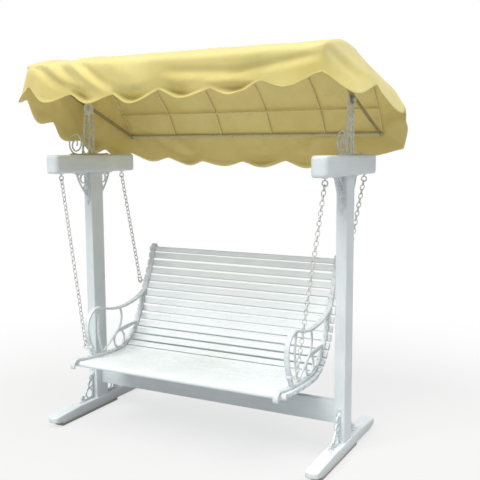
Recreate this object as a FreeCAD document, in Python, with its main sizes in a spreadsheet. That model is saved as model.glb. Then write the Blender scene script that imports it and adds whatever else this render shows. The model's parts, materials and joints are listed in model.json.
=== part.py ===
# Canopy swing: a slatted bench on four chains under a timber frame, with a tilting cloth canopy.
# Millimetres. +X is the sitter's left to right as seen from the front, +Y is the back, +Z is up.
# The origin is on the floor under the middle of the frame; the posts stand at Y = 0.

import FreeCAD, Part
import Sketcher
import math
import os
import re
from FreeCAD import Placement, Rotation, Vector

os.makedirs("parts", exist_ok=True)
doc = FreeCAD.newDocument("canopy_swing")

# Driving dimensions: name, value, what it is

SIZES = [
    ("post_spacing", 1762, "between the post centres"),
    ("post_width", 64, "post, across the swing"),
    ("post_depth", 120, "post, front to back"),
    ("post_edge", 6, "rounding of the post edges"),
    ("beam_underside", 1600, "height of the cross beam underside"),
    ("beam_width", 100, "cross beam, across the swing"),
    ("beam_length", 814, "cross beam, front to back"),
    ("beam_height", 116, "cross beam, top to bottom"),
    ("beam_corner", 34, "rounding of the beam ends in plan"),
    ("beam_edge", 14, "rounding of the beam edges"),
    ("foot_width", 80, "foot, across the swing"),
    ("foot_length", 956, "foot, front to back"),
    ("foot_height", 64, "foot, thickness at the post"),
    ("foot_tip_drop", 13, "how much the top falls towards the tips"),
    ("foot_tip_lift", 17, "how much the underside rises at the tips"),
    ("foot_nose", 90, "length of the rising underside"),
    ("foot_seat", 225, "half length of the level top at the post"),
    ("foot_corner", 28, "rounding of the foot tips in plan"),
    ("foot_edge", 8, "rounding of the foot edges"),
    ("sole_height", 18, "sole board under the foot"),
    ("sole_width", 66, "sole board, across the swing"),
    ("sole_front", 410, "sole board, reach to the front"),
    ("sole_rear", 160, "sole board, reach to the back"),
    ("sole_edge", 4, "chamfer of the sole board"),
    ("stretcher_height", 130, "stretcher board, top to bottom"),
    ("stretcher_thickness", 44, "stretcher board, front to back"),
    ("stretcher_rise", 176, "height of the stretcher underside"),
    ("stretcher_setback", 12, "stretcher centre behind the post centre"),
    ("stretcher_edge", 4, "rounding of the stretcher edges"),
    ("tenon_depth", 38, "length of every tenon"),
    ("tenon_thickness", 26, "thin side of every tenon"),
    ("tenon_shoulder", 22, "shoulder around a tenon"),
    ("joint_clearance", 0.3, "gap around tenons, pegs and shanks"),
    ("peg_diameter", 12, "wooden peg through a tenon"),
    ("casting_thickness", 12, "cast brackets, across the swing"),
    ("casting_bar", 9, "width of the bars in the castings"),
    ("screw_diameter", 6, "screw shank"),
    ("screw_head", 14, "screw head diameter"),
    ("screw_head_height", 4, "screw head height"),
    ("screw_length", 30, "screw shank length"),
    ("foot_bracket_height", 205, "foot bracket up the post"),
    ("foot_bracket_reach", 152, "foot bracket along the foot"),
    ("beam_bracket_drop", 215, "beam bracket down the post"),
    ("beam_bracket_reach", 132, "beam bracket along the beam"),
    ("leaf_width", 42, "cast leaf on the post face"),
    ("leaf_thickness", 6, "cast leaf on the post face"),
    ("leaf_screw_rise", 28, "leaf screw above the leaf tip"),
    ("tab_width", 26, "screw tab of a casting"),
    ("tab_thickness", 5, "screw tab of a casting"),
    ("tab_inset", 14, "screw from the end of its tab"),
    ("mast_offset", 24, "mast, outside the post centre"),
    ("mast_thickness", 10, "mast, across the swing"),
    ("mast_base_length", 380, "mast base strip"),
    ("mast_base_width", 24, "mast base strip"),
    ("mast_base_height", 6, "mast base strip"),
    ("mast_head_radius", 44, "round head of the mast"),
    ("mast_bar", 12, "width of the mast bars"),
    ("mast_scroll", 62, "radius of the mast scroll"),
    ("mast_scroll_place", 135, "middle of the mast scroll, in front of the mast"),
    ("pivot_height", 2015, "height of the canopy pivots"),
    ("pivot_diameter", 12, "canopy pivot bolt"),
    ("pivot_running_gap", 0.05, "radial gap on the pivot bolt"),
    ("washer_gap", 0.3, "gap beside the pivot washer"),
    ("washer_radius", 17, "pivot washer"),
    ("knob_radius", 15, "pivot knob"),
    ("knob_height", 14, "pivot knob"),
    ("canopy_half_depth", 500, "canopy bars, front and back of the posts"),
    ("canopy_fall", 400, "how much lower the rear bar is than the front bar"),
    ("canopy_rail_lift", 20, "side rail above the pivot"),
    ("canopy_rail_height", 24, "flat side rail"),
    ("canopy_rail_thickness", 6, "flat side rail"),
    ("canopy_rail_gap", 4, "between the mast and the side rail"),
    ("canopy_bar_radius", 10, "front and rear bar"),
    ("canopy_arch_rise", 212, "height of the arch over the bars"),
    ("hoop_radius", 6, "bent hoop"),
    ("hoop_lift", 4, "hoop above the bar centres"),
    ("hoop_count", 6, "number of hoops"),
    ("hoop_offset", 45, "outer hoops, outside the post centres"),
    ("purlin_radius", 5, "rod that ties the hoops"),
    ("cloth_thickness", 3, "cloth as a solid"),
    ("cloth_gap", 0.5, "between the cloth and the frame"),
    ("cloth_side_gap", 4.5, "side cloth beyond the bars"),
    ("cloth_lip", 16, "roof cloth past the bars"),
    ("valance_drop", 170, "front and rear valance down to the cusps"),
    ("scallop_depth", 48, "scallops below the cusps"),
    ("scallop_bulge", 16, "outward fold of each scallop"),
    ("front_scallops", 6, "scallops across the front and the back"),
    ("side_scallops", 4, "scallops along each side"),
    ("side_drop", 235, "lowest cusps of the left valance below the side rail"),
    ("side_flare", 115, "lower edge of the side valances, outwards, middle"),
    ("chain_wire_radius", 3, "chain link wire"),
    ("chain_half_width", 10, "chain link centre line, half width"),
    ("chain_pitch", 27, "nominal length of chain per link"),
    ("link_gap", 0.3, "between hooked links"),
    ("eye_radius", 15, "eye bolt ring, centre line"),
    ("eye_wire_radius", 4, "eye bolt wire"),
    ("eye_neck", 10, "eye bolt neck"),
    ("eye_flange_radius", 15, "eye bolt flange"),
    ("eye_flange_height", 4, "eye bolt flange"),
    ("eye_shank_length", 60, "eye bolt shank in the timber"),
    ("front_chain_offset", 312, "front chains in front of the posts"),
    ("front_eye_height", 510, "height of the front bench eyes"),
    ("slats_under_eye", 9, "flat back slats below the rear stirrups"),
    ("front_eye_outset", 27, "front eye centre beyond the rail"),
    ("rear_eye_outset", 44, "rear stirrup centre beyond the rail"),
    ("end_ring_half_width", 18, "end ring of a rear chain, centre line"),
    ("end_ring_length", 52, "end ring of a rear chain, centre line"),
    ("stirrup_radius", 14, "rear stirrup, centre line"),
    ("stirrup_straight", 6, "rear stirrup, straight part"),
    ("stirrup_slack", 0.5, "end ring above the stirrup wire"),
    ("bench_front", 450, "seat front edge in front of the posts"),
    ("bench_depth", 855, "seat front edge to the top of the back"),
    ("seat_height", 432, "lowest part of the seat surface"),
    ("back_height", 638, "top of the back above the seat"),
    ("rail_inner", 668, "bench side rail, inner face"),
    ("rail_width", 30, "bench side rail, across the swing"),
    ("rail_thickness", 15, "bench side rail, off the slats"),
    ("rail_gap", 0.3, "between the side rail and the slats"),
    ("slat_overhang", 20, "slats beyond the side rail"),
    ("slat_thickness", 24, "slats"),
    ("slat_edge", 4, "rounding of the slat edges"),
    ("slat_width", 40, "slats"),
    ("back_slats", 13, "number of flat back slats"),
    ("seat_slats", 11, "number of flat seat slats"),
    ("front_slat_width", 46, "rounded front slat"),
    ("front_slat_thickness", 34, "rounded front slat"),
    ("front_slat_round", 15, "rounding of the front slat"),
    ("top_slat_width", 34, "rounded top slat"),
    ("top_slat_round", 10, "rounding of the top slat"),
    ("slat_screw_diameter", 4, "slat screw shank"),
    ("slat_screw_head", 10, "slat screw head diameter"),
    ("slat_screw_head_height", 2.5, "slat screw head height"),
    ("slat_screw_depth", 18, "slat screw depth in the slat"),
    ("rail_nose_radius", 34, "curl of the side rail over the front slat"),
    ("finial_radius", 13, "curl at the top of the side rail"),
    ("arm_height", 785, "where the arm leaves the back"),
    ("arm_back", 285, "where the arm leaves the back, behind the posts"),
    ("arm_thickness", 15, "arm band, in its curve"),
    ("arm_sweep", 620, "radius of the long curve of the arm"),
    ("arm_level", 50, "straight part of the arm"),
    ("arm_front_radius", 105, "radius of the front of the arm"),
    ("arm_foot_radius", 250, "radius of the lower front of the arm"),
    ("arm_foot", 112, "straight foot of the arm"),
    ("arm_panel_thickness", 13, "scrolls under the arm, across the swing"),
    ("arm_scroll_bar", 11, "width of the scroll bars under the arm"),
    ("arm_scroll_radius", 110, "radius of the middle scroll"),
    ("arm_scroll_tail", 202, "straight tail of the middle scroll"),
    ("arm_bow_radius", 350, "radius of the front bow"),
    ("arm_ring_radius", 54, "ring under the arm"),
    ("arm_leaf_width", 26, "leaf under the arm"),
    ("overrun", 5, "how far a cutter runs past what it cuts"),
]

sheet = doc.addObject("Spreadsheet::Sheet", "Sizes")
for row, (alias, value, note) in enumerate(SIZES, start=1):
    sheet.set(f"A{row}", alias)
    sheet.set(f"B{row}", str(value))
    sheet.setAlias(f"B{row}", alias)
    sheet.set(f"C{row}", note)
doc.recompute()


def size(alias):
    """The value of one driving dimension."""
    return float(getattr(sheet, alias))


def count(alias):
    """A driving number of copies."""
    return int(round(size(alias)))


def formula(text):
    """An expression on the sheet, written with bare size names."""
    return re.sub(r"[a-z]\w*", r"Sizes.\g<0>", text)


def bind(obj, **formulas):
    """Bind properties of an object to the sheet; a double underscore stands for a dot."""
    for name, text in formulas.items():
        obj.setExpression(name.replace("__", "."), formula(text))
    return obj


nodes = []


def publish(obj, label):
    """Name a finished sub-part, which becomes a node."""
    obj.Label = label
    nodes.append(obj)
    return obj


def feature(label, shape):
    """A sub-part whose shape is worked out here from the sheet."""
    obj = doc.addObject("Part::Feature", label)
    obj.Shape = shape
    return publish(obj, label)


SIDES = (("left", -1), ("right", 1))
ENDS = (("front", -1), ("rear", 1))


# Timber: rounded boards as bodies

def origin_plane(body, role):
    """The body's own base plane with the given role."""
    return next(plane for plane in body.Origin.OriginFeatures if plane.Role == role)


def board(name, width, depth, height, edge, corner=None):
    """A rectangular board, centred in plan, standing on the plane of its body."""
    body = doc.addObject("PartDesign::Body", name)
    sketch = body.newObject("Sketcher::SketchObject", name + "_outline")
    sketch.AttachmentSupport = [(origin_plane(body, "XY_Plane"), "")]
    sketch.MapMode = "FlatFace"
    guess = [Vector(-1, -1, 0), Vector(1, -1, 0), Vector(1, 1, 0), Vector(-1, 1, 0)]
    for i in range(4):
        sketch.addGeometry(Part.LineSegment(guess[i], guess[(i + 1) % 4]), False)
    for i in range(4):
        sketch.addConstraint(Sketcher.Constraint("Coincident", i, 2, (i + 1) % 4, 1))
    for i in (0, 2):
        sketch.addConstraint(Sketcher.Constraint("Horizontal", i))
        sketch.addConstraint(Sketcher.Constraint("Vertical", i + 1))
    sketch.addConstraint(Sketcher.Constraint("Symmetric", 0, 1, 1, 2, -1, 1))
    for line, text, label in ((0, width, "width"), (1, depth, "depth")):
        kind = "DistanceX" if line == 0 else "DistanceY"
        index = sketch.addConstraint(Sketcher.Constraint(kind, line, 1, line, 2, 2.0))
        sketch.renameConstraint(index, label)
        sketch.setExpression("Constraints." + label, formula(text))
    pad = body.newObject("PartDesign::Pad", name + "_pad")
    pad.Profile = sketch
    bind(pad, Length=height)
    sketch.Visibility = False
    doc.recompute()
    if corner:
        round_edges(body, pad, name + "_corners", corner, upright_edges)
        round_edges(body, body.Tip, name + "_edges", edge, level_edges)
    else:
        round_edges(body, pad, name + "_edges", edge, upright_edges)
    return body


def upright_edges(shape):
    """Names of the straight edges along Z."""
    names = []
    for index, edge in enumerate(shape.Edges, start=1):
        if isinstance(edge.Curve, Part.Line) and abs(edge.tangentAt(edge.FirstParameter).z) > 0.9:
            names.append(f"Edge{index}")
    return names


def level_edges(shape):
    """Names of the edges that lie in the top and bottom faces."""
    low = shape.BoundBox.ZMin
    high = shape.BoundBox.ZMax
    names = []
    for index, edge in enumerate(shape.Edges, start=1):
        box = edge.BoundBox
        if box.ZLength < box.DiagonalLength / 100 and min(abs(box.ZMin - low), abs(box.ZMin - high)) < (high - low) / 100:
            names.append(f"Edge{index}")
    return names


def round_edges(body, base, name, radius, chooser):
    """Round chosen edges of the body's tip."""
    fillet = body.newObject("PartDesign::Fillet", name)
    fillet.Base = (base, chooser(base.Shape))
    bind(fillet, Radius=radius)
    doc.recompute()
    return fillet


def place(obj, x="0", y="0", z="0"):
    """Bind the place of an object to the sheet."""
    return bind(obj, Placement__Base__x=x, Placement__Base__y=y, Placement__Base__z=z)


def block(name, width, depth, height, x, y, z):
    """A plain box centred on x and y, from z up, used for tenons and mortises."""
    box = doc.addObject("Part::Box", name)
    bind(box, Length=width, Width=depth, Height=height)
    return place(box, f"({x}) - ({width}) / 2", f"({y}) - ({depth}) / 2", z)


def rod(name, radius, height, x, y, z, axis):
    """A cylinder along a row axis, centred on its middle."""
    turns = {"X": Rotation(Vector(0, 1, 0), 90), "Y": Rotation(Vector(1, 0, 0), -90), "Z": Rotation()}
    cylinder = doc.addObject("Part::Cylinder", name)
    bind(cylinder, Radius=radius, Height=height)
    cylinder.Placement = Placement(Vector(), turns[axis])
    half = {"X": (f"({x}) - ({height}) / 2", y, z),
            "Y": (x, f"({y}) - ({height}) / 2", z),
            "Z": (x, y, f"({z}) - ({height}) / 2")}
    return place(cylinder, *half[axis])


def joined(name, parts):
    """Several shapes as one solid."""
    fusion = doc.addObject("Part::MultiFuse", name)
    fusion.Shapes = parts
    return fusion


def carved(name, base, tools):
    """A shape with others taken away."""
    tool = tools[0] if len(tools) == 1 else joined(name + "_tools", tools)
    cut = doc.addObject("Part::Cut", name)
    cut.Base = base
    cut.Tool = tool
    return cut


POST_X = "post_spacing / 2"
FOOT_TOP = "(sole_height + foot_height)"
POST_INNER = "(post_spacing / 2 - post_width / 2)"
TENON_LONG = "(post_depth - 2 * tenon_shoulder)"
RAIL_TENON = "(stretcher_height - 2 * tenon_shoulder)"
STRETCHER_MIDDLE = "(stretcher_rise + stretcher_height / 2)"
SCREW_HOLE = "screw_diameter / 2 + joint_clearance"


def make_foot(side, sign):
    """A sled foot: level at the post, thinner towards its rounded, lifted tips."""
    name = side + "_foot"
    body = doc.addObject("PartDesign::Body", name + "_beam")
    sketch = body.newObject("Sketcher::SketchObject", name + "_outline")
    sketch.AttachmentSupport = [(origin_plane(body, "YZ_Plane"), "")]
    sketch.MapMode = "FlatFace"
    low = size("sole_height")
    top = low + size("foot_height")
    half = size("foot_length") / 2
    flat = half - size("foot_nose")
    seat = size("foot_seat")
    outline = [(-flat, low), (flat, low), (half, low + size("foot_tip_lift")), (half, top - size("foot_tip_drop")),
               (seat, top), (-seat, top), (-half, top - size("foot_tip_drop")), (-half, low + size("foot_tip_lift"))]
    for i, start in enumerate(outline):
        end = outline[(i + 1) % len(outline)]
        sketch.addGeometry(Part.LineSegment(Vector(*start, 0), Vector(*end, 0)), False)
    for i in range(len(outline)):
        sketch.addConstraint(Sketcher.Constraint("Coincident", i, 2, (i + 1) % len(outline), 1))
    places = (
        (0, 1, "-(foot_length / 2 - foot_nose)", "sole_height"),
        (1, 1, "foot_length / 2 - foot_nose", "sole_height"),
        (2, 1, "foot_length / 2", "sole_height + foot_tip_lift"),
        (3, 1, "foot_length / 2", "sole_height + foot_height - foot_tip_drop"),
        (4, 1, "foot_seat", "sole_height + foot_height"),
        (5, 1, "-foot_seat", "sole_height + foot_height"),
        (6, 1, "-foot_length / 2", "sole_height + foot_height - foot_tip_drop"),
        (7, 1, "-foot_length / 2", "sole_height + foot_tip_lift"),
    )
    for line, end, along, up in places:
        for kind, text in (("DistanceX", along), ("DistanceY", up)):
            value = outline[line][0] if kind == "DistanceX" else outline[line][1]
            index = sketch.addConstraint(Sketcher.Constraint(kind, -1, 1, line, end, value))
            sketch.renameConstraint(index, f"{kind}_{line}")
            sketch.setExpression(f"Constraints.{kind}_{line}", formula(text))
    pad = body.newObject("PartDesign::Pad", name + "_pad")
    pad.Profile = sketch
    pad.Midplane = True
    bind(pad, Length="foot_width")
    sketch.Visibility = False
    doc.recompute()
    round_edges(body, pad, name + "_corners", "foot_corner", upright_edges)
    round_edges(body, body.Tip, name + "_edges", "foot_edge", outline_edges)
    place(body, f"{sign} * {POST_X}")
    mortise = block(name + "_mortise", "tenon_thickness + 2 * joint_clearance",
                    TENON_LONG + " + 2 * joint_clearance", "tenon_depth + overrun",
                    f"{sign} * {POST_X}", "0", FOOT_TOP + " - tenon_depth")
    holes = [rod(f"{name}_{end}_screw_hole", SCREW_HOLE, "2 * screw_length", f"{sign} * {POST_X}",
                 f"{way} * (post_depth / 2 + foot_bracket_reach - tab_inset)", FOOT_TOP, "Z") for end, way in ENDS]
    publish(carved(name, body, [mortise] + holes), name)


def outline_edges(shape):
    """Names of the edges that run along the foot, on its top and underside."""
    names = []
    for index, edge in enumerate(shape.Edges, start=1):
        box = edge.BoundBox
        if box.XLength < box.DiagonalLength / 100 and not upright(edge):
            names.append(f"Edge{index}")
    return names


def upright(edge):
    """Whether a straight edge stands along Z."""
    return isinstance(edge.Curve, Part.Line) and abs(edge.tangentAt(edge.FirstParameter).z) > 0.9


def make_sole(side, sign):
    """The flat board on which the foot stands."""
    name = side + "_foot_sole"
    body = board(name + "_board", "sole_width", "sole_front + sole_rear", "sole_height", "sole_edge")
    place(body, f"{sign} * {POST_X}", "(sole_rear - sole_front) / 2")
    publish(body, name)


def make_post(side, sign):
    """A post with a tenon at each end and a mortise for the stretcher."""
    name = side + "_post"
    x = f"{sign} * {POST_X}"
    body = board(name + "_board", "post_width", "post_depth", f"beam_underside - {FOOT_TOP}", "post_edge")
    place(body, x, "0", FOOT_TOP)
    long_side = TENON_LONG
    tenon = block(name + "_tenons", "tenon_thickness", long_side,
                  f"beam_underside - {FOOT_TOP} + 2 * tenon_depth - 2 * joint_clearance",
                  x, "0", f"{FOOT_TOP} - tenon_depth + joint_clearance")
    whole = joined(name + "_with_tenons", [body, tenon])
    mortise = block(name + "_mortise", "2 * tenon_depth", "tenon_thickness + 2 * joint_clearance",
                    RAIL_TENON + " + 2 * joint_clearance", f"{sign} * {POST_INNER}", "stretcher_setback",
                    "stretcher_rise + tenon_shoulder - joint_clearance")
    peg_hole = rod(name + "_peg_hole", "peg_diameter / 2 + joint_clearance", "post_depth + 2 * overrun",
                   f"{sign} * ({POST_INNER} + tenon_depth / 2)", "0", STRETCHER_MIDDLE, "Y")
    tools = [mortise, peg_hole]
    for end, way in ENDS:
        for level, height in (("low", f"{FOOT_TOP} + foot_bracket_height - tab_inset"),
                              ("high", "beam_underside - beam_bracket_drop + leaf_screw_rise")):
            tools.append(rod(f"{name}_{end}_{level}_hole", SCREW_HOLE, "2 * screw_length", x,
                             f"{way} * post_depth / 2", height, "Y"))
    publish(carved(name, whole, tools), name)


def make_beam(side, sign):
    """A cross beam with rounded ends, a mortise for the post and holes for the eye bolts."""
    name = side + "_cross_beam"
    x = f"{sign} * {POST_X}"
    body = board(name + "_board", "beam_width", "beam_length", "beam_height", "beam_edge", corner="beam_corner")
    place(body, x, "0", "beam_underside")
    mortise = block(name + "_mortise", "tenon_thickness + 2 * joint_clearance", TENON_LONG + " + 2 * joint_clearance",
                    "tenon_depth + overrun", x, "0", "beam_underside - overrun")
    tools = [mortise]
    for end, offset in (("front", "-front_chain_offset"), ("rear", str(rear_eye_place()[0]))):
        tools.append(rod(f"{name}_{end}_hole", "eye_wire_radius + joint_clearance", "2 * eye_shank_length",
                         x, offset, "beam_underside", "Z"))
    for end, way in ENDS:
        tools.append(rod(f"{name}_{end}_bracket_hole", SCREW_HOLE, "2 * screw_length", x,
                         f"{way} * (post_depth / 2 + beam_bracket_reach - tab_inset)", "beam_underside", "Z"))
        tools.append(rod(f"{name}_{end}_mast_hole", SCREW_HOLE, "2 * screw_length",
                         f"{sign} * (post_spacing / 2 + mast_offset)",
                         f"{way} * (mast_base_length / 2 - tab_inset)", "beam_underside + beam_height", "Z"))
    publish(carved(name, body, tools), name)


def make_stretcher():
    """The board that ties the posts together, with a tenon at each end."""
    board_body = board("stretcher_board", f"2 * {POST_INNER}", "stretcher_thickness", "stretcher_height",
                       "stretcher_edge")
    place(board_body, "0", "stretcher_setback", "stretcher_rise")
    tenons = block("stretcher_tenons", f"2 * ({POST_INNER} + tenon_depth - joint_clearance)", "tenon_thickness",
                   RAIL_TENON, "0", "stretcher_setback", "stretcher_rise + tenon_shoulder")
    whole = joined("stretcher_whole", [board_body, tenons])
    holes = [rod(f"stretcher_{side}_hole", "peg_diameter / 2 + joint_clearance", "post_depth",
                 f"{sign} * ({POST_INNER} + tenon_depth / 2)", "0", STRETCHER_MIDDLE, "Y") for side, sign in SIDES]
    publish(carved("stretcher", whole, holes), "stretcher")
    pegs = [rod(f"stretcher_{side}_peg", "peg_diameter / 2", "post_depth - 2 * joint_clearance",
                f"{sign} * ({POST_INNER} + tenon_depth / 2)", "0", STRETCHER_MIDDLE, "Y") for side, sign in SIDES]
    group = doc.addObject("Part::Compound", "stretcher_pegs")
    group.Links = pegs
    publish(group, "stretcher_pegs")


# Plane paths: everything scrolled or curved lies in a plane across the swing, as (y, z)

def turtle(start, heading, moves):
    """Tangent lines and arcs from a start; a move is (length,) or (radius, turn in degrees)."""
    edges = []
    y, z = start
    for move in moves:
        if len(move) == 1:
            end = (y + move[0] * math.cos(math.radians(heading)), z + move[0] * math.sin(math.radians(heading)))
            edges.append(Part.LineSegment(Vector(0, y, z), Vector(0, *end)).toShape())
        else:
            radius, turn = move
            side = math.copysign(1, turn)
            centre = (y - side * radius * math.sin(math.radians(heading)),
                      z + side * radius * math.cos(math.radians(heading)))
            points = []
            for share in (0.5, 1.0):
                angle = math.radians(heading + share * turn - side * 90)
                points.append((centre[0] + radius * math.cos(angle), centre[1] + radius * math.sin(angle)))
            edges.append(Part.Arc(Vector(0, y, z), Vector(0, *points[0]), Vector(0, *points[1])).toShape())
            end = points[1]
            heading += turn
        y, z = end
    return Part.Wire(edges), (y, z), heading


def stroke(wire, width, x, thickness):
    """A bar of even width along a plane path, with round ends, centred on x."""
    outline = wire.makeOffset2D(width / 2, 0, False, False, True)
    face = Part.Face(outline)
    face.translate(Vector(x - thickness / 2, 0, 0))
    return face.extrude(Vector(thickness, 0, 0))


def disc(centre, radius, x, thickness):
    """A round plate across the swing."""
    return Part.makeCylinder(radius, thickness, Vector(x - thickness / 2, *centre), Vector(1, 0, 0))


def ring(centre, radius, width, x, thickness):
    """A flat ring across the swing; radius is its centre line."""
    outer = disc(centre, radius + width / 2, x, thickness)
    return outer.cut(disc(centre, radius - width / 2, x, thickness + 2 * size("overrun")))


def lens(start, end, width, x, thickness):
    """A leaf with two round sides and two sharp tips."""
    along = Vector(0, end[0] - start[0], end[1] - start[1])
    middle = Vector(0, (start[0] + end[0]) / 2, (start[1] + end[1]) / 2)
    across = Vector(0, -along.z, along.y).normalize() * (width / 2)
    a = Vector(0, *start)
    b = Vector(0, *end)
    wire = Part.Wire([Part.Arc(a, middle + across, b).toShape(), Part.Arc(b, middle - across, a).toShape()])
    face = Part.Face(wire)
    face.translate(Vector(x - thickness / 2, 0, 0))
    return face.extrude(Vector(thickness, 0, 0))


def plate(points, x, thickness):
    """A flat plate across the swing from a closed outline of (y, z) points."""
    corners = [Vector(x - thickness / 2, *p) for p in points]
    return Part.Face(Part.makePolygon(corners + corners[:1])).extrude(Vector(thickness, 0, 0))


def fused(shapes):
    """One solid from touching shapes."""
    whole = shapes[0].fuse(shapes[1:]) if len(shapes) > 1 else shapes[0]
    return whole.removeSplitter()


def screw(head_at, direction, diameter, head_diameter, head_height, length):
    """A domed screw: its head stands on a surface at head_at, its shank runs along direction."""
    shank = Part.makeCylinder(diameter / 2, length, head_at, direction)
    outward = direction * -1
    rim = head_height / 3
    head = Part.makeCylinder(head_diameter / 2, rim, head_at, outward)
    dome = Part.makeCone(head_diameter / 2, diameter / 2, head_height - rim, head_at + outward * rim, outward)
    return fused([shank, head, dome])


# Cast brackets at the feet and under the beams

def bracket_x(sign):
    """Centre plane of the posts, feet and brackets on one side."""
    return sign * size("post_spacing") / 2


def largest(shape):
    """The biggest solid of a shape."""
    return max(shape.Solids, key=lambda solid: solid.Volume)


def along(shares, share):
    """A value of a table whose entries lie evenly from 0 to 1."""
    place = share * (len(shares) - 1)
    i = min(int(place), len(shares) - 2)
    return shares[i] + (shares[i + 1] - shares[i]) * (place - i)


def bore(at, direction, diameter, length):
    """A round hole through or into a piece, starting at a point."""
    return Part.makeCylinder(diameter / 2, length, at, direction)


def screw_bore(at, direction):
    """The clearance hole of a bracket screw, from one overrun before its head to past its tip."""
    run = size("overrun")
    diameter = size("screw_diameter") + 2 * size("joint_clearance")
    return bore(at - direction * run, direction, diameter, size("screw_length") + 2 * run)


def tab(x, low, high):
    """A screw tab between two corners given as (y, z), wide across the swing."""
    half = size("tab_width") / 2
    y0, y1 = sorted((low[0], high[0]))
    z0, z1 = sorted((low[1], high[1]))
    return Part.makeBox(2 * half, y1 - y0, z1 - z0, Vector(x - half, y0, z0))


bracket_screws = []


def add_screw(at, direction):
    """One domed screw of a casting; its head stands on the surface at the given point."""
    bracket_screws.append(screw(at, direction, size("screw_diameter"), size("screw_head"),
                                size("screw_head_height"), size("screw_length")))


# Rings between the legs of a foot bracket: place along the foot, up the post and radius, as shares
# of the bracket height; then the middle of the hollow stay, as shares of reach and height.
FOOT_RING_SHARES = ((0.22, 0.19, 0.150), (0.56, 0.105, 0.075), (0.155, 0.49, 0.115), (0.115, 0.70, 0.080))
STAY_SHARES = (0.42, 0.36)
STAY_TOP_SHARE = 0.84
LIGHT_SHARE = 0.8


def foot_screw_places(x, way):
    """Where the two screws of a foot bracket enter the post and the foot, with their directions."""
    face = size("post_depth") / 2
    top = size("sole_height") + size("foot_height")
    inset = size("tab_inset")
    along = face + size("foot_bracket_reach") - inset
    up = top + size("foot_bracket_height") - inset
    return ((Vector(x, way * face, up), Vector(0, -way, 0)), (Vector(x, way * along, top), Vector(0, 0, -1)))


def make_foot_bracket(side, sign, end, way):
    """A pierced corner bracket: two legs, a hollow-backed stay, rings and two screw tabs."""
    x = bracket_x(sign)
    thick = size("casting_thickness")
    bar = size("casting_bar")
    flat = size("tab_thickness")
    long_tab = 2 * size("tab_inset")
    corner_y = size("post_depth") / 2
    corner_z = size("sole_height") + size("foot_height")
    reach = size("foot_bracket_reach")
    height = size("foot_bracket_height")

    def at(along, up):
        return (way * (corner_y + along), corner_z + up)

    leg = plate([at(0, 0), at(bar, 0), at(bar, height - long_tab), at(0, height - long_tab)], x, thick)
    base = plate([at(0, 0), at(reach - long_tab, 0), at(reach - long_tab, bar), at(0, bar)], x, thick)
    stay_points = [Vector(0, *at(bar / 2, height * STAY_TOP_SHARE)),
                   Vector(0, *at(reach * STAY_SHARES[0], height * STAY_SHARES[1])),
                   Vector(0, *at(reach - long_tab, bar / 2))]
    stay = stroke(Part.Wire([Part.Arc(*stay_points).toShape()]), bar, x, thick)
    tabs = [tab(x, at(0, height - 2 * long_tab), at(flat, height)), tab(x, at(reach - 2 * long_tab, 0), at(reach, flat))]
    parts = [leg, base, stay] + tabs
    for along, up, radius in FOOT_RING_SHARES:
        parts.append(ring(at(along * height, up * height), radius * height, bar * LIGHT_SHARE, x, thick * LIGHT_SHARE))
    room = plate([at(0, 0), at(reach, 0), at(reach, height), at(0, height)], x, 2 * size("tab_width"))
    whole = largest(fused(parts).common(room))
    places = foot_screw_places(x, way)
    for point, direction in places:
        head_at = point - direction * flat
        head_room = bore(head_at, direction * -1, size("screw_head") + 2 * size("joint_clearance"), long_tab)
        whole = whole.cut(head_room).cut(screw_bore(head_at, direction))
        add_screw(head_at, direction)
    feature(f"{side}_{end}_foot_bracket", largest(whole))


# A beam bracket: the hollow sweep and its rings, as shares of the drop down the post and of the reach
# under the beam. A ring is (along, down, radius); the radius is a share of the reach.
SWEEP_SHARES = ((0.03, 0.72), (0.40, 0.47), (0.80, 0.05))
BEAM_RING_SHARES = ((0.285, 0.185, 0.22), (0.165, 0.47, 0.12), (0.62, 0.115, 0.105), (0.13, 0.62, 0.07))


def beam_screw_places(x, way):
    """Where the two screws of a beam bracket enter the post and the beam, with their directions."""
    face = size("post_depth") / 2
    under = size("beam_underside")
    down = under - size("beam_bracket_drop") + size("leaf_screw_rise")
    along = face + size("beam_bracket_reach") - size("tab_inset")
    return ((Vector(x, way * face, down), Vector(0, -way, 0)), (Vector(x, way * along, under), Vector(0, 0, 1)))


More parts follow.
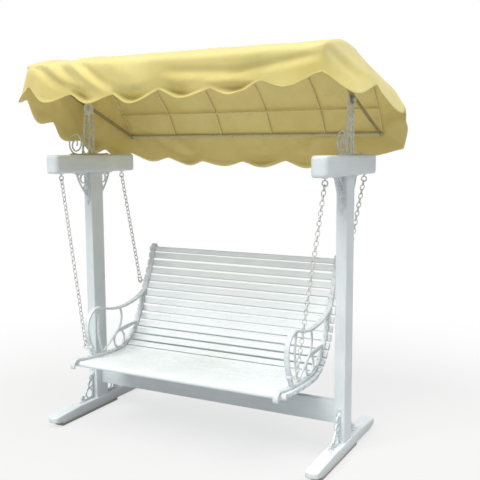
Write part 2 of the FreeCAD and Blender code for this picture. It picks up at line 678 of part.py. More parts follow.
def make_beam_bracket(side, sign, end, way):
    """A scroll from the post up to the beam, with a leaf on the post face behind it."""
    x = bracket_x(sign)
    thick = size("casting_thickness")
    bar = size("casting_bar")
    flat = size("tab_thickness")
    long_tab = 2 * size("tab_inset")
    face_y = size("post_depth") / 2
    under = size("beam_underside")
    drop = size("beam_bracket_drop")
    reach = size("beam_bracket_reach")
    leaf = size("leaf_thickness")

    def at(along, down):
        return (way * (face_y + along), under - down)

    down_strip = drop * SWEEP_SHARES[0][1]
    strip = plate([at(0, 0), at(leaf, 0), at(leaf, down_strip), at(0, down_strip)], x, thick)
    rail = plate([at(0, 0), at(reach - long_tab, 0), at(reach - long_tab, bar), at(0, bar)], x, thick)
    sweep_points = [Vector(0, *at(along * reach, down * drop)) for along, down in SWEEP_SHARES]
    sweep = stroke(Part.Wire([Part.Arc(*sweep_points).toShape()]), bar, x, thick)
    parts = [strip, rail, sweep, tab(x, at(reach - 2 * long_tab, 0), at(reach, flat))]
    for along, down, radius in BEAM_RING_SHARES:
        parts.append(ring(at(along * reach, down * drop), radius * reach, bar * LIGHT_SHARE, x, thick * LIGHT_SHARE))
    room = plate([at(0, 0), at(reach, 0), at(reach, drop), at(0, drop)], x, 2 * size("tab_width"))
    half = size("leaf_width") / 2
    tip = Vector(x, *at(0, drop))
    top = Vector(x, *at(0, flat))
    middle = (tip + top) * 0.5
    arcs = [Part.Arc(tip, middle + Vector(half, 0, 0), top).toShape(),
            Part.Arc(top, middle - Vector(half, 0, 0), tip).toShape()]
    leaf_shape = Part.Face(Part.Wire(arcs)).extrude(Vector(0, way * leaf, 0))
    whole = largest(fused(parts + [leaf_shape]).common(room))
    places = beam_screw_places(x, way)
    for (point, direction), lift in zip(places, (leaf, flat)):
        head_at = point - direction * lift
        head_room = bore(head_at, direction * -1, size("screw_head") + 2 * size("joint_clearance"), long_tab)
        whole = whole.cut(head_room).cut(screw_bore(head_at, direction))
        add_screw(head_at, direction)
    feature(f"{side}_{end}_beam_bracket", largest(whole))


# Canopy masts on the beams. The three bars are given in widths of a bar from the post centre, at the
# base and at the head; the rings between them and the curls of the scroll are shares.
MAST_BAR_SHARES = (((-6.3, -5.4), (-3.6, -2.7)), ((-0.45, 0.45), (-0.45, 0.45)), ((3.4, 4.3), (2.7, 3.6)))
MAST_RING_SHARES = ((0.1, 0.285, 0.45, 0.595, 0.725), (0.062, 0.18, 0.293, 0.402, 0.508, 0.61, 0.71))
CURL_SHARES = ((1.0, -180), (0.86, -180), (0.55, -170), (0.3, -150))
SCROLL_BAR_SHARE = 0.72


def mast_x(sign):
    """Centre plane of the masts on one side."""
    return sign * (size("post_spacing") / 2 + size("mast_offset"))


def mast_floor():
    """Height of the beam tops, on which the masts stand."""
    return size("beam_underside") + size("beam_height")


def mast_screw_places(x):
    """Where the screws of a mast enter the beam."""
    along = size("mast_base_length") / 2 - size("tab_inset")
    return [Vector(x, way * along, mast_floor()) for way in (-1, 1)]


mast_screws = []


def make_mast(side, sign):
    """A scrolled bracket: base strip, three bars with two rows of rings, a scroll and a round head."""
    x = mast_x(sign)
    thick = size("mast_thickness")
    bar = size("mast_bar")
    base_top = mast_floor() + size("mast_base_height")
    head_z = size("pivot_height")
    rise = head_z - base_top
    half = size("mast_base_length") / 2
    width = size("mast_base_width")
    base = Part.makeBox(width, 2 * half, size("mast_base_height"), Vector(x - width / 2, -half, mast_floor()))
    parts = [base, disc((0, head_z), size("mast_head_radius"), x, thick)]
    for low, high in MAST_BAR_SHARES:
        parts.append(plate([(low[0] * bar, base_top), (low[1] * bar, base_top), (high[1] * bar, head_z),
                            (high[0] * bar, head_z)], x, thick))
    for (first, second), shares in zip(zip(MAST_BAR_SHARES, MAST_BAR_SHARES[1:]), MAST_RING_SHARES):
        for share in shares:
            front, rear = (along((low[edge], high[edge]), share) * bar
                           for (low, high), edge in ((first, 1), (second, 0)))
            centre = ((front + rear) / 2, base_top + share * rise)
            parts.append(ring(centre, (rear - front) / 2, SCROLL_BAR_SHARE * bar / 2, x, thick * LIGHT_SHARE))
    curl = [(size("mast_scroll") * share, turn) for share, turn in CURL_SHARES]
    path = turtle((-size("mast_scroll_place"), base_top), 180, curl)[0]
    parts.append(stroke(path, bar * SCROLL_BAR_SHARE, x, thick * LIGHT_SHARE))
    room = plate([(-2 * half, mast_floor()), (2 * half, mast_floor()), (2 * half, 2 * head_z), (-2 * half, 2 * head_z)],
                 x, 2 * width)
    whole = fused(parts).common(room)
    pin = size("pivot_diameter") + 2 * size("pivot_running_gap")
    whole = whole.cut(bore(Vector(x - thick, 0, head_z), Vector(1, 0, 0), pin, 2 * thick))
    for point in mast_screw_places(x):
        head_at = point + Vector(0, 0, size("mast_base_height"))
        down = Vector(0, 0, -1)
        whole = whole.cut(screw_bore(head_at, down))
        mast_screws.append(screw(head_at, down, size("screw_diameter"), size("screw_head"),
                                 size("screw_head_height"), size("screw_length")))
    feature(f"{side}_canopy_mast", largest(whole))


# Round wire: eyes, stirrups and chain links

def wire_loop(radius, straight, wire):
    """A closed loop of round wire in the XZ plane, long along Z, centred on the origin."""
    if straight <= 0:
        return Part.makeTorus(radius, wire, Vector(), Vector(0, 1, 0))
    shapes = []
    for way in (1, -1):
        centre = Vector(0, 0, way * straight / 2)
        circle = Part.Face(Part.Wire([Part.makeCircle(wire, centre + Vector(radius, 0, 0), Vector(0, 0, 1))]))
        shapes.append(circle.revolve(centre, Vector(0, 1, 0), -180 * way))
        shapes.append(Part.makeCylinder(wire, straight, Vector(way * radius, 0, -straight / 2)))
    return fused(shapes)


def turned(shape, centre, along, normal):
    """A loop moved to a centre, its long side along one direction and its plane across the normal."""
    across = normal.cross(along)
    copy = shape.copy()
    copy.Placement = Placement(centre, Rotation(across, normal, along, "ZYX"))
    return copy


def hook_overlap():
    """How far the ends of two hooked links overlap, between their centre lines."""
    return 2 * size("chain_wire_radius") + size("link_gap")


def link_count(length, odd):
    """The odd or even number of links nearest to the nominal pitch."""
    links = length / size("chain_pitch")
    return 2 * round((links - 1) / 2) + 1 if odd else 2 * round(links / 2)


def chain_run(top, bottom, odd):
    """Hooked links from the centre line of the first link's top to that of the last link's bottom."""
    run = bottom - top
    along = Vector(run).normalize()
    number = link_count(run.Length, odd)
    overlap = hook_overlap()
    height = (run.Length + overlap * (number - 1)) / number
    radius = size("chain_half_width")
    link = wire_loop(radius, height - 2 * radius, size("chain_wire_radius"))
    flat = Vector(0, 1, 0)
    edgewise = along.cross(flat).normalize()
    links = []
    for i in range(number):
        centre = top + along * (height / 2 + i * (height - overlap))
        links.append(turned(link, centre, along, flat if i % 2 else edgewise))
    return links


def rail_face():
    """Outer face of the bench side rail, from the middle of the bench."""
    return size("rail_inner") + size("rail_width")


def hook_centre(sign, end):
    """Centre of an eye under a beam."""
    y = -size("front_chain_offset") if end == "front" else rear_eye_place()[0]
    fall = size("eye_flange_height") + size("eye_neck") + size("eye_radius")
    return Vector(bracket_x(sign), y, size("beam_underside") - fall)


def bench_eye(sign, end):
    """Centre of a front eye or a rear stirrup on the bench."""
    if end == "front":
        return Vector(sign * (rail_face() + size("front_eye_outset")), -size("front_chain_offset"),
                      size("front_eye_height"))
    return Vector(sign * (rail_face() + size("rear_eye_outset")), *rear_eye_place())


def chain_direction(sign, end):
    """Unit direction down a chain, from the beam to the bench."""
    return (bench_eye(sign, end) - hook_centre(sign, end)).normalize()


def grip():
    """From the centre line of an eye to the centre line of the link that hooks it."""
    return size("eye_wire_radius") + size("link_gap") + size("chain_wire_radius")


def end_ring_bottom():
    """From the stirrup centre down to the centre line of the end ring that passes through it."""
    opening = size("stirrup_radius") + size("stirrup_straight") / 2 - size("eye_wire_radius")
    return opening - size("chain_wire_radius") - size("stirrup_slack")


def make_chains(side, sign):
    """A front chain, and a rear chain that ends in a long ring."""
    for end, way in ENDS:
        along = chain_direction(sign, end)
        top = hook_centre(sign, end) + along * (size("eye_radius") - grip())
        eye = bench_eye(sign, end)
        if end == "front":
            links = chain_run(top, eye - along * (size("eye_radius") - grip()), odd=True)
        else:
            half = size("end_ring_half_width")
            long_ring = size("end_ring_length")
            ring_bottom = eye + along * end_ring_bottom()
            ring_top = ring_bottom - along * long_ring
            links = chain_run(top, ring_top + along * hook_overlap(), odd=False)
            loop = wire_loop(half, long_ring - 2 * half, size("chain_wire_radius"))
            edgewise = along.cross(Vector(0, 1, 0)).normalize()
            links.append(turned(loop, ring_bottom - along * (long_ring / 2), along, edgewise))
        feature(f"{side}_{end}_chain", Part.makeCompound(links))


def eye_bolt(loop, centre, along, stem, flange_at, flange_radius, shank):
    """A loop with a stem to a flange on the surface at flange_at, and a shank of its own length."""
    axis = (flange_at - centre).normalize()
    wire = size("eye_wire_radius")
    ring_part = turned(loop, centre, along, Vector(0, 1, 0))
    stem_start = centre + axis * stem
    neck = Part.makeCylinder(wire, (flange_at - stem_start).Length, stem_start, axis)
    flange = Part.makeCylinder(flange_radius, size("eye_flange_height"),
                               flange_at - axis * size("eye_flange_height"), axis)
    pin = Part.makeCylinder(wire, shank, flange_at, axis)
    return fused([ring_part, neck, flange, pin])


def make_beam_hooks(side, sign):
    """The two eyes of one side, screwed into the beam from below."""
    loop = wire_loop(size("eye_radius"), 0, size("eye_wire_radius"))
    eyes = []
    for end, way in ENDS:
        centre = hook_centre(sign, end)
        face = Vector(centre.x, centre.y, size("beam_underside"))
        eyes.append(eye_bolt(loop, centre, Vector(0, 0, 1), size("eye_radius"), face, size("eye_flange_radius"),
                             size("eye_shank_length") - size("overrun")))
    feature(f"{side}_chain_hooks", Part.makeCompound(eyes))


def make_bench_eyes():
    """The front eyes and the rear stirrups, bolted through the sides of the bench."""
    ring_loop = wire_loop(size("eye_radius"), 0, size("eye_wire_radius"))
    stirrup = wire_loop(size("stirrup_radius"), size("stirrup_straight"), size("eye_wire_radius"))
    for end, loop, stem in (("front", ring_loop, size("eye_radius")), ("rear", stirrup, size("stirrup_radius"))):
        eyes = []
        for side, sign in SIDES:
            centre = bench_eye(sign, end)
            face = Vector(sign * rail_face(), centre.y, centre.z)
            along = chain_direction(sign, end) * -1 if end == "rear" else Vector(0, 0, 1)
            collar = size("rail_thickness") / 2
            bolt = eye_bolt(loop, centre, along, stem, face, collar, size("rail_width"))
            button = Part.makeCylinder(collar, size("eye_flange_height"),
                                       Vector(sign * size("rail_inner"), centre.y, centre.z), Vector(-sign, 0, 0))
            eyes.append(fused([bolt, button]))
        name = "bench_front_eyes" if end == "front" else "bench_rear_stirrups"
        feature(name, Part.makeCompound(eyes))


def eye_bore(sign, end):
    """The hole of a bench eye through the side of the bench."""
    centre = bench_eye(sign, end)
    start = Vector(sign * (size("rail_inner") - size("overrun")), centre.y, centre.z)
    diameter = 2 * (size("eye_wire_radius") + size("joint_clearance"))
    return bore(start, Vector(sign, 0, 0), diameter, size("rail_width") + 2 * size("overrun"))


# Bench: slats on a curved line from the seat front to the top of the back, with side rails on top.
# The line goes through these points, as shares of the bench depth and of the back height.
PROFILE_SHARES = ((0, 0.040), (0.112, 0.020), (0.269, 0.003), (0.433, 0), (0.579, 0.027), (0.678, 0.119),
                  (0.760, 0.244), (0.840, 0.475), (0.924, 0.705), (0.973, 0.868), (1, 1))
SEAT_SHARE = 0.402
PROFILE_STEPS = 48


def bench_line():
    """The curve along the tops of the slats, in the YZ plane."""
    points = [Vector(0, size("bench_depth") * along - size("bench_front"), size("seat_height") + size("back_height") * up)
              for along, up in PROFILE_SHARES]
    curve = Part.BSplineCurve()
    curve.interpolate(points)
    return curve


profile = bench_line()
profile_length = profile.length()


def on_profile(distance):
    """Point, forward direction and user-side direction at a distance along the bench line."""
    parameter = profile.parameterAtDistance(distance, profile.FirstParameter)
    tangent = profile.tangent(parameter)[0]
    return profile.value(parameter), tangent, Vector(0, -tangent.z, tangent.y)


def profile_band(low, high, x, thickness):
    """A band that follows the bench line between two distances off it, centred on x."""
    rows = [[], []]
    for i in range(PROFILE_STEPS + 1):
        point, tangent, normal = on_profile(profile_length * i / PROFILE_STEPS)
        for row, offset in zip(rows, (low, high)):
            row.append(point + normal * offset)
    edges = []
    for row in rows:
        curve = Part.BSplineCurve()
        curve.interpolate(row)
        edges.append(curve.toShape())
    ends = [Part.LineSegment(rows[0][i], rows[1][i]).toShape() for i in (0, -1)]
    face = Part.Face(Part.Wire(Part.sortEdges(edges + ends)[0]))
    face.translate(Vector(x - thickness / 2, 0, 0))
    return face.extrude(Vector(thickness, 0, 0))


def heading_of(direction):
    """Angle of a direction in the YZ plane, in degrees from +Y towards +Z."""
    return math.degrees(math.atan2(direction.z, direction.y))


def slat(width, thickness, edge, distance):
    """A rounded slat whose top touches the bench line at a distance along it."""
    half = rail_face() + size("slat_overhang")
    box = Part.makeBox(2 * half, width, thickness, Vector(-half, -width / 2, -thickness))
    box = box.makeFillet(edge, [e for e in box.Edges if e.BoundBox.XLength > half])
    point, tangent, normal = on_profile(distance)
    box.Placement = Placement(point, Rotation(Vector(1, 0, 0), tangent, normal, "XYZ"))
    return box


def back_pitch():
    """From one flat back slat to the next, along the bench line."""
    return (profile_length * (1 - SEAT_SHARE) - size("top_slat_width")) / count("back_slats")


def rear_eye_place():
    """Where the rear stirrups go through the side rails (y, z): in a gap between two back slats."""
    point, tangent, normal = on_profile(profile_length * SEAT_SHARE + back_pitch() * count("slats_under_eye"))
    place_in_rail = point + normal * (size("rail_gap") + size("rail_thickness") / 2)
    return place_in_rail.y, place_in_rail.z


def slat_rows():
    """Places of the slats: name, width, thickness, edge and distances along the bench line."""
    wide = size("slat_width")
    front = size("front_slat_width")
    top = size("top_slat_width")
    seat_end = profile_length * SEAT_SHARE
    seats = count("seat_slats")
    backs = count("back_slats")
    seat_pitch = (seat_end - front) / seats
    plain = (wide, size("slat_thickness"), size("slat_edge"))
    return (
        ("front_slat", front, size("front_slat_thickness"), size("front_slat_round"), [front / 2]),
        ("seat_slats", *plain, [front + seat_pitch * (i + 0.5) for i in range(seats)]),
        ("back_slats", *plain, [seat_end + back_pitch() * (i + 0.5) for i in range(backs)]),
        ("top_slat", top, size("slat_thickness"), size("top_slat_round"), [profile_length - top / 2]),
    )


def make_slats():
    """The slats, with a hole under each side rail for its screw, and the screws."""
    screws = []
    rail_top = size("rail_gap") + size("rail_thickness")
    middle = size("rail_inner") + size("rail_width") / 2
    shank = size("slat_screw_diameter")
    depth = size("slat_screw_depth")
    holes = []
    heads = []
    for name, width, thickness, edge, distances in slat_rows():
        solids = []
        for distance in distances:
            solid = slat(width, thickness, edge, distance)
            point, tangent, normal = on_profile(distance)
            for side, sign in SIDES:
                head_at = point + normal * rail_top + Vector(sign * middle, 0, 0)
                drill = bore(head_at, normal * -1, shank + 2 * size("joint_clearance"), rail_top + depth)
                solid = solid.cut(drill)
                holes.append(drill)
                heads.append(bore(head_at, normal, size("slat_screw_head") + 2 * size("joint_clearance"),
                                  size("slat_screw_head_height") + size("joint_clearance")))
                screws.append(screw(head_at, normal * -1, shank, size("slat_screw_head"),
                                    size("slat_screw_head_height"), rail_top + depth - size("overrun") / 2))
            solids.append(solid)
        feature(name, Part.makeCompound(solids) if len(solids) > 1 else solids[0])
    feature("slat_screws", Part.makeCompound(screws))
    return holes, heads


NOSE_TURN = 112
FINIAL_TURN = -205


def rail_shape(sign):
    """The side rail: a band on the slats that curls over the front slat and away at the top."""
    x = sign * (size("rail_inner") + size("rail_width") / 2)
    wide = size("rail_width")
    gap = size("rail_gap")
    thick = size("rail_thickness")
    parts = [profile_band(gap, gap + thick, x, wide)]
    for distance, way, radius, turn in ((0, -1, size("rail_nose_radius"), NOSE_TURN),
                                        (profile_length, 1, size("finial_radius"), FINIAL_TURN)):
        point, tangent, normal = on_profile(distance)
        start = point + normal * (gap + thick / 2)
        path = turtle((start.y, start.z), heading_of(tangent * way), [(radius, turn)])[0]
        parts.append(stroke(path, thick, x, wide))
    rear = bench_eye(sign, "rear")
    parts.append(disc((rear.y, rear.z), size("eye_flange_radius"), x, wide))
    return fused(parts)


def make_rail(side, sign, holes, heads):
    """A side rail with its screw holes, their flat seats and the hole of the rear stirrup."""
    whole = rail_shape(sign).cut(profile_band(-size("slat_thickness"), size("rail_gap"), 0, 2 * rail_face() * 2))
    for hole in holes + heads:
        if hole.BoundBox.Center.x * sign > 0:
            whole = whole.cut(hole)
    feature(f"bench_{side}_rail", largest(whole.cut(eye_bore(sign, "rear"))))


# An arm: the long sweep, then inner bars. Starts and ends are shares of bench depth and back height
# from the same corner as the bench line.
ARM_TURNS = (-43, 105, 25)
ARM_HEADING = 208
SCROLL_START_SHARE = (0.520, 0.429)
SCROLL_HEADING = 300
SCROLL_TURN = -85
BOW_START_SHARE = (0.275, 0.483)
BOW_HEADING = 250
BOW_TURN = 40
BOW_TAIL_SHARE = 0.09
LEAF_SHARES = ((0.468, 0.193), (0.749, 0.229))
RING_SHARE = (0.501, 0.107)


def bench_point(shares):
    """A point (y, z) from shares of the bench depth and the back height."""
    return (size("bench_depth") * shares[0] - size("bench_front"),
            size("seat_height") + size("back_height") * shares[1])


def make_arm(side, sign, heads):
    """A cast arm: a flat band from the back to the seat front, scrolls and a lug for the front eye.

    It is hollowed over the heads of the slat screws that it covers.
    """
    x = sign * (size("rail_inner") + size("rail_width") / 2)
    wide = size("rail_width")
    thin = size("arm_panel_thickness")
    bar = size("arm_scroll_bar")
    moves = [(size("arm_sweep"), ARM_TURNS[0]), (size("arm_level"),), (size("arm_front_radius"), ARM_TURNS[1]),
             (size("arm_foot_radius"), ARM_TURNS[2]), (size("arm_foot"),)]
    band = turtle((size("arm_back"), size("arm_height")), ARM_HEADING, moves)[0]
    scroll = turtle(bench_point(SCROLL_START_SHARE), SCROLL_HEADING,
                    [(size("arm_scroll_radius"), SCROLL_TURN), (size("arm_scroll_tail"),)])[0]
    bow = turtle(bench_point(BOW_START_SHARE), BOW_HEADING,
                 [(size("arm_bow_radius"), BOW_TURN), (size("back_height") * BOW_TAIL_SHARE,)])[0]
    front = bench_eye(sign, "front")
    parts = [
        stroke(band, size("arm_thickness"), x, wide),
        stroke(scroll, bar, x, thin),
        stroke(bow, bar, x, thin),
        lens(bench_point(LEAF_SHARES[0]), bench_point(LEAF_SHARES[1]), size("arm_leaf_width"), x, thin),
        ring(bench_point(RING_SHARE), size("arm_ring_radius"), bar, x, thin),
        disc((front.y, front.z), size("eye_flange_radius"), x, wide),
    ]
    deep = size("arm_front_radius")
    clear = size("rail_gap") + size("rail_thickness") + size("joint_clearance")
    keep_out = profile_band(-deep, clear, x, 2 * wide)
    whole = fused(parts).cut(keep_out)
    for head in heads:
        if head.BoundBox.Center.x * sign > 0 and head.BoundBox.intersect(whole.BoundBox):
            whole = whole.cut(head)
    feature(f"bench_{side}_arm", largest(whole.cut(eye_bore(sign, "front"))))


# Canopy frame: a circle through both bar centres carries the hoops and the roof cloth

def rail_line(y):
    """Height of the line through the bar centres, above a place along Y."""
    return size("pivot_height") + size("canopy_rail_lift") - y * size("canopy_fall") / (2 * size("canopy_half_depth"))


def bar_centre(way):
    """Centre (y, z) of the front bar (-1) or the rear bar (1)."""
    return way * size("canopy_half_depth"), rail_line(way * size("canopy_half_depth"))


def arch_circle():
    """Centre (y, z) and radius of the arch through the bar centres."""
    long_side = 2 * size("canopy_half_depth")
    chord = math.hypot(long_side, size("canopy_fall"))
    rise = size("canopy_arch_rise")
    radius = chord * chord / (8 * rise) + rise / 2
    drop = radius - rise
    return (-drop * size("canopy_fall") / chord, rail_line(0) - drop * long_side / chord), radius


arch_centre, arch_radius = arch_circle()


def arch_angle(way):
    """Angle of a bar seen from the arch centre, from +Y towards +Z."""
    y, z = bar_centre(way)
    return math.atan2(z - arch_centre[1], y - arch_centre[0])


def arch_point(angle, lift=0.0):
    """A point (y, z) at an angle on the arch, lifted off it."""
    reach = arch_radius + lift
    return arch_centre[0] + reach * math.cos(angle), arch_centre[1] + reach * math.sin(angle)


HOOP_REACH = "(post_spacing / 2 + hoop_offset)"
BAR_LENGTH = "2 * (post_spacing / 2 + hoop_offset + hoop_radius)"
BAR_MIDDLE = "(pivot_height + canopy_rail_lift)"
PURLIN_SHARE = 0.85


def make_canopy_bars():
    """The front and rear bars and the rod that ties the hoops."""
    for end, way in ENDS:
        bar = rod(f"canopy_{end}_bar", "canopy_bar_radius", BAR_LENGTH, "0", f"{way} * canopy_half_depth",
                  f"{BAR_MIDDLE} - {way} * canopy_fall / 2", "X")
        publish(bar, f"canopy_{end}_bar")
    angle = arch_angle(-1) + PURLIN_SHARE * (arch_angle(1) - arch_angle(-1))
    lift = size("hoop_lift") - size("hoop_radius") - size("purlin_radius") - size("joint_clearance")
    y, z = arch_point(angle, lift)
    purlin = rod("canopy_purlin", "purlin_radius", BAR_LENGTH, "0", "0", "0", "X")
    place(purlin, f"-{BAR_LENGTH} / 2", str(y), str(z))
    publish(purlin, "canopy_purlin")


def make_hoops():
    """The bent hoops, ended against the two bars."""
    hoops = count("hoop_count")
    reach = size("post_spacing") / 2 + size("hoop_offset")
    short = (size("canopy_bar_radius") + size("joint_clearance")) / arch_radius
    rear, front = arch_angle(1) + short, arch_angle(-1) - short
    tangent = Vector(0, -math.sin(rear), math.cos(rear))
    for i in range(hoops):
        x = -reach + 2 * reach * i / (hoops - 1)
        end = Part.Face(Part.Wire([Part.makeCircle(size("hoop_radius"), Vector(x, *arch_point(rear, size("hoop_lift"))),
                                                   tangent)]))
        tube = end.revolve(Vector(x, *arch_centre), Vector(1, 0, 0), math.degrees(front - rear))
        feature(f"canopy_hoop_{i + 1}", largest(tube))


def canopy_rail_x():
    """Inner face of the canopy side rail, from the middle."""
    return size("post_spacing") / 2 + size("mast_offset") + size("mast_thickness") / 2 + size("canopy_rail_gap")


def make_canopy_rail(side, sign):
    """A flat rail from bar to bar, with an eye around each bar and a lug on the pivot."""
    thick = size("canopy_rail_thickness")
    x = sign * (canopy_rail_x() + thick / 2)
    half = size("canopy_rail_height") / 2
    eye = size("canopy_bar_radius") + half / 3
    (y0, z0), (y1, z1) = bar_centre(-1), bar_centre(1)
    pivot = (0, size("pivot_height"))
    whole = fused([plate([(y0, z0 - half), (y1, z1 - half), (y1, z1 + half), (y0, z0 + half)], x, thick),
                   disc((y0, z0), eye, x, thick), disc((y1, z1), eye, x, thick), disc(pivot, 2 * half, x, thick)])
    bar_hole = size("canopy_bar_radius") + size("joint_clearance")
    for centre, radius in (((y0, z0), bar_hole), ((y1, z1), bar_hole),
                           (pivot, size("pivot_diameter") / 2 + size("pivot_running_gap"))):
        whole = whole.cut(disc(centre, radius, x, 2 * thick))
    feature(f"canopy_{side}_rail", largest(whole.common(under_roof())))


MAST_INNER = "(post_spacing / 2 + mast_offset - mast_thickness / 2)"
MAST_OUTER = "(post_spacing / 2 + mast_offset + mast_thickness / 2)"
RAIL_OUTER = "(post_spacing / 2 + mast_offset + mast_thickness / 2 + canopy_rail_gap + canopy_rail_thickness)"


def make_pivot(side, sign):
    """The bolt on which the canopy tilts: head, shank, washer and knob."""
    name = f"{side}_canopy_pivot"

    def slice_of(part, radius, low, high):
        return rod(f"{name}_{part}", radius, f"({high}) - ({low})", f"{sign} * (({low}) + ({high})) / 2", "0",
                   "pivot_height", "X")

    parts = [
        slice_of("head", "knob_radius", f"{MAST_INNER} - knob_height / 2", MAST_INNER),
        slice_of("shank", "pivot_diameter / 2", MAST_INNER, f"{RAIL_OUTER} + knob_height / 2"),
        slice_of("washer", "washer_radius", MAST_OUTER, f"{MAST_OUTER} + canopy_rail_gap - washer_gap"),
        slice_of("knob", "knob_radius", f"{RAIL_OUTER} + washer_gap", f"{RAIL_OUTER} + knob_height"),
    ]
    publish(joined(name, parts), name)


# Cloth: closed sheets of even thickness. A panel is ruled between a top line and a bottom line.

def edge_through(a, middle, b):
    """An arc through three points, or the straight line when they lie on one."""
    off_line = (middle - a).cross(b - a).Length / (b - a).Length
    if off_line < (b - a).Length / 10000:
        return Part.LineSegment(a, b).toShape()
    return Part.Arc(a, middle, b).toShape()


def panel(top, bottom, inward):
    """A cloth panel between two lines of three points, as thick as the vector inward."""
    outer = [edge_through(*top), edge_through(*bottom)]
    inner = [edge_through(*[p + inward for p in line]) for line in (top, bottom)]
    faces = [Part.makeRuledSurface(outer[0], outer[1]), Part.makeRuledSurface(inner[0], inner[1]),
             Part.makeRuledSurface(outer[0], inner[0]), Part.makeRuledSurface(outer[1], inner[1])]
    for i in (0, 2):
        corners = [top[i], bottom[i], bottom[i] + inward, top[i] + inward]
        faces.append(Part.Face(Part.makePolygon(corners + corners[:1])))
    shell = Part.makeShell(faces)
    shell.sewShape()
    solid = Part.makeSolid(shell)
    if solid.Volume < 0:
        solid.reverse()
    return solid


def cloth_inner_radius():
    """Radius of the roof cloth's inner face about the arch centre."""
    return arch_radius + size("hoop_lift") + size("hoop_radius") + size("cloth_gap")


def cloth_outer_x():
    """Outer face of the side cloth, from the middle."""
    return (size("post_spacing") / 2 + size("hoop_offset") + size("hoop_radius") + size("cloth_side_gap")
            + size("cloth_thickness"))


def make_roof_cloth():
    """The arched roof cloth with a lip past each bar."""
    inner = cloth_inner_radius()
    outer = inner + size("cloth_thickness")
    half = cloth_outer_x()
    lip = size("cloth_lip") / arch_radius
    front, rear = arch_angle(-1) + lip, arch_angle(1) - lip
    middle = (front + rear) / 2

    def at(angle, radius):
        return Vector(-half, arch_centre[0] + radius * math.cos(angle), arch_centre[1] + radius * math.sin(angle))

    edges = [Part.Arc(at(front, outer), at(middle, outer), at(rear, outer)).toShape(),
             Part.LineSegment(at(rear, outer), at(rear, inner)).toShape(),
             Part.Arc(at(rear, inner), at(middle, inner), at(front, inner)).toShape(),
             Part.LineSegment(at(front, inner), at(front, outer)).toShape()]
    feature("canopy_roof_cloth", Part.Face(Part.Wire(edges)).extrude(Vector(2 * half, 0, 0)))


def under_roof():
    """Everything under the inner face of the roof cloth."""
    radius = cloth_inner_radius() - size("joint_clearance")
    reach = 2 * cloth_outer_x()
    return Part.makeCylinder(radius, 2 * reach, Vector(-reach, *arch_centre), Vector(1, 0, 0))


def valance_y():
    """Outer face of the front and rear valances, from the posts."""
    return size("canopy_half_depth") + size("canopy_bar_radius") + size("cloth_lip") / 2


# Hem of the side valances at the cusps from front to rear: the right one is lifted and blown out
HEM_DROP_SHARES = {"left": (0.81, 0.92, 1.0, 0.90, 0.47), "right": (0.50, 0.31, -0.02, -0.33, 0.25)}
HEM_FLARE_SHARES = {"left": (0.50, 0.85, 1.0, 0.85, 0.10), "right": (0, 0.85, 1.0, 0.85, 0.80)}


def hem_point(side, sign, share, y):
    """A point on the cusp line of a side valance."""
    drop = size("side_drop") * along(HEM_DROP_SHARES[side], share)
    flare = size("side_flare") * along(HEM_FLARE_SHARES[side], share)
    return Vector(sign * (cloth_outer_x() + flare), y, rail_line(y) - drop)


def make_end_valance(end, way):
    """The front or rear valance: scalloped panels that hang straight and swell between the cusps."""
    panels = count("front_scallops")
    half = cloth_outer_x()
    y = way * valance_y()
    bar_z = bar_centre(way)[1]
    top_z = bar_z + 2 * size("cloth_lip")
    out = way * size("scallop_bulge")
    solids = []
    for i in range(panels):
        x0, x1 = (-half + 2 * half * k / panels for k in (i, i + 1))
        top = [Vector(x, y, top_z) for x in (x0, (x0 + x1) / 2, x1)]
        cusps = [Vector(x, y, bar_z - size("valance_drop")) for x in (x0, x1)]
        if i == 0:
            cusps[0] = hem_point("left", -1, (1 + way) / 2, y)
        if i == panels - 1:
            cusps[1] = hem_point("right", 1, (1 + way) / 2, y)
        middle = (cusps[0] + cusps[1]) * 0.5 + Vector(0, out, -size("scallop_depth"))
        solids.append(panel(top, [cusps[0], middle, cusps[1]], Vector(0, -way * size("cloth_thickness"), 0)))
    feature(f"canopy_{end}_valance", largest(fused(solids).common(under_roof())))


def make_side_valance(side, sign):
    """A side cloth: from the arch down to scallops, flared outwards."""
    panels = count("side_scallops")
    thick = size("cloth_thickness")
    x = cloth_outer_x()
    reach = valance_y() - thick - size("joint_clearance")
    radius = cloth_inner_radius() - size("joint_clearance")

    def roof_z(y):
        return arch_centre[1] + math.sqrt(radius ** 2 - (y - arch_centre[0]) ** 2)

    solids = []
    for i in range(panels):
        a, b = (hem_point(side, sign, k / panels, reach * (2 * k / panels - 1)) for k in (i, i + 1))
        middle = (a + b) * 0.5 + Vector(sign * size("scallop_bulge"), 0, -size("scallop_depth"))
        top = [Vector(sign * x, y, roof_z(y)) for y in (a.y, (a.y + b.y) / 2, b.y)]
        solids.append(panel(top, [a, middle, b], Vector(-sign * thick, 0, 0)))
    feature(f"canopy_{side}_valance", largest(fused(solids)))


for side, sign in SIDES:
    make_foot(side, sign)
    make_sole(side, sign)
    make_post(side, sign)
    make_beam(side, sign)
    make_pivot(side, sign)
make_stretcher()
make_canopy_bars()
doc.recompute()
slat_holes, slat_heads = make_slats()
for side, sign in SIDES:
    for end, way in ENDS:
        make_foot_bracket(side, sign, end, way)
        make_beam_bracket(side, sign, end, way)
    make_mast(side, sign)
    make_chains(side, sign)
    make_beam_hooks(side, sign)
    make_rail(side, sign, slat_holes, slat_heads)
    make_arm(side, sign, slat_heads)
    make_canopy_rail(side, sign)
    make_side_valance(side, sign)
make_bench_eyes()
make_hoops()
make_roof_cloth()
for end, way in ENDS:
    make_end_valance(end, way)
feature("bracket_screws", Part.makeCompound(bracket_screws))
feature("mast_screws", Part.makeCompound(mast_screws))

# Checks and export

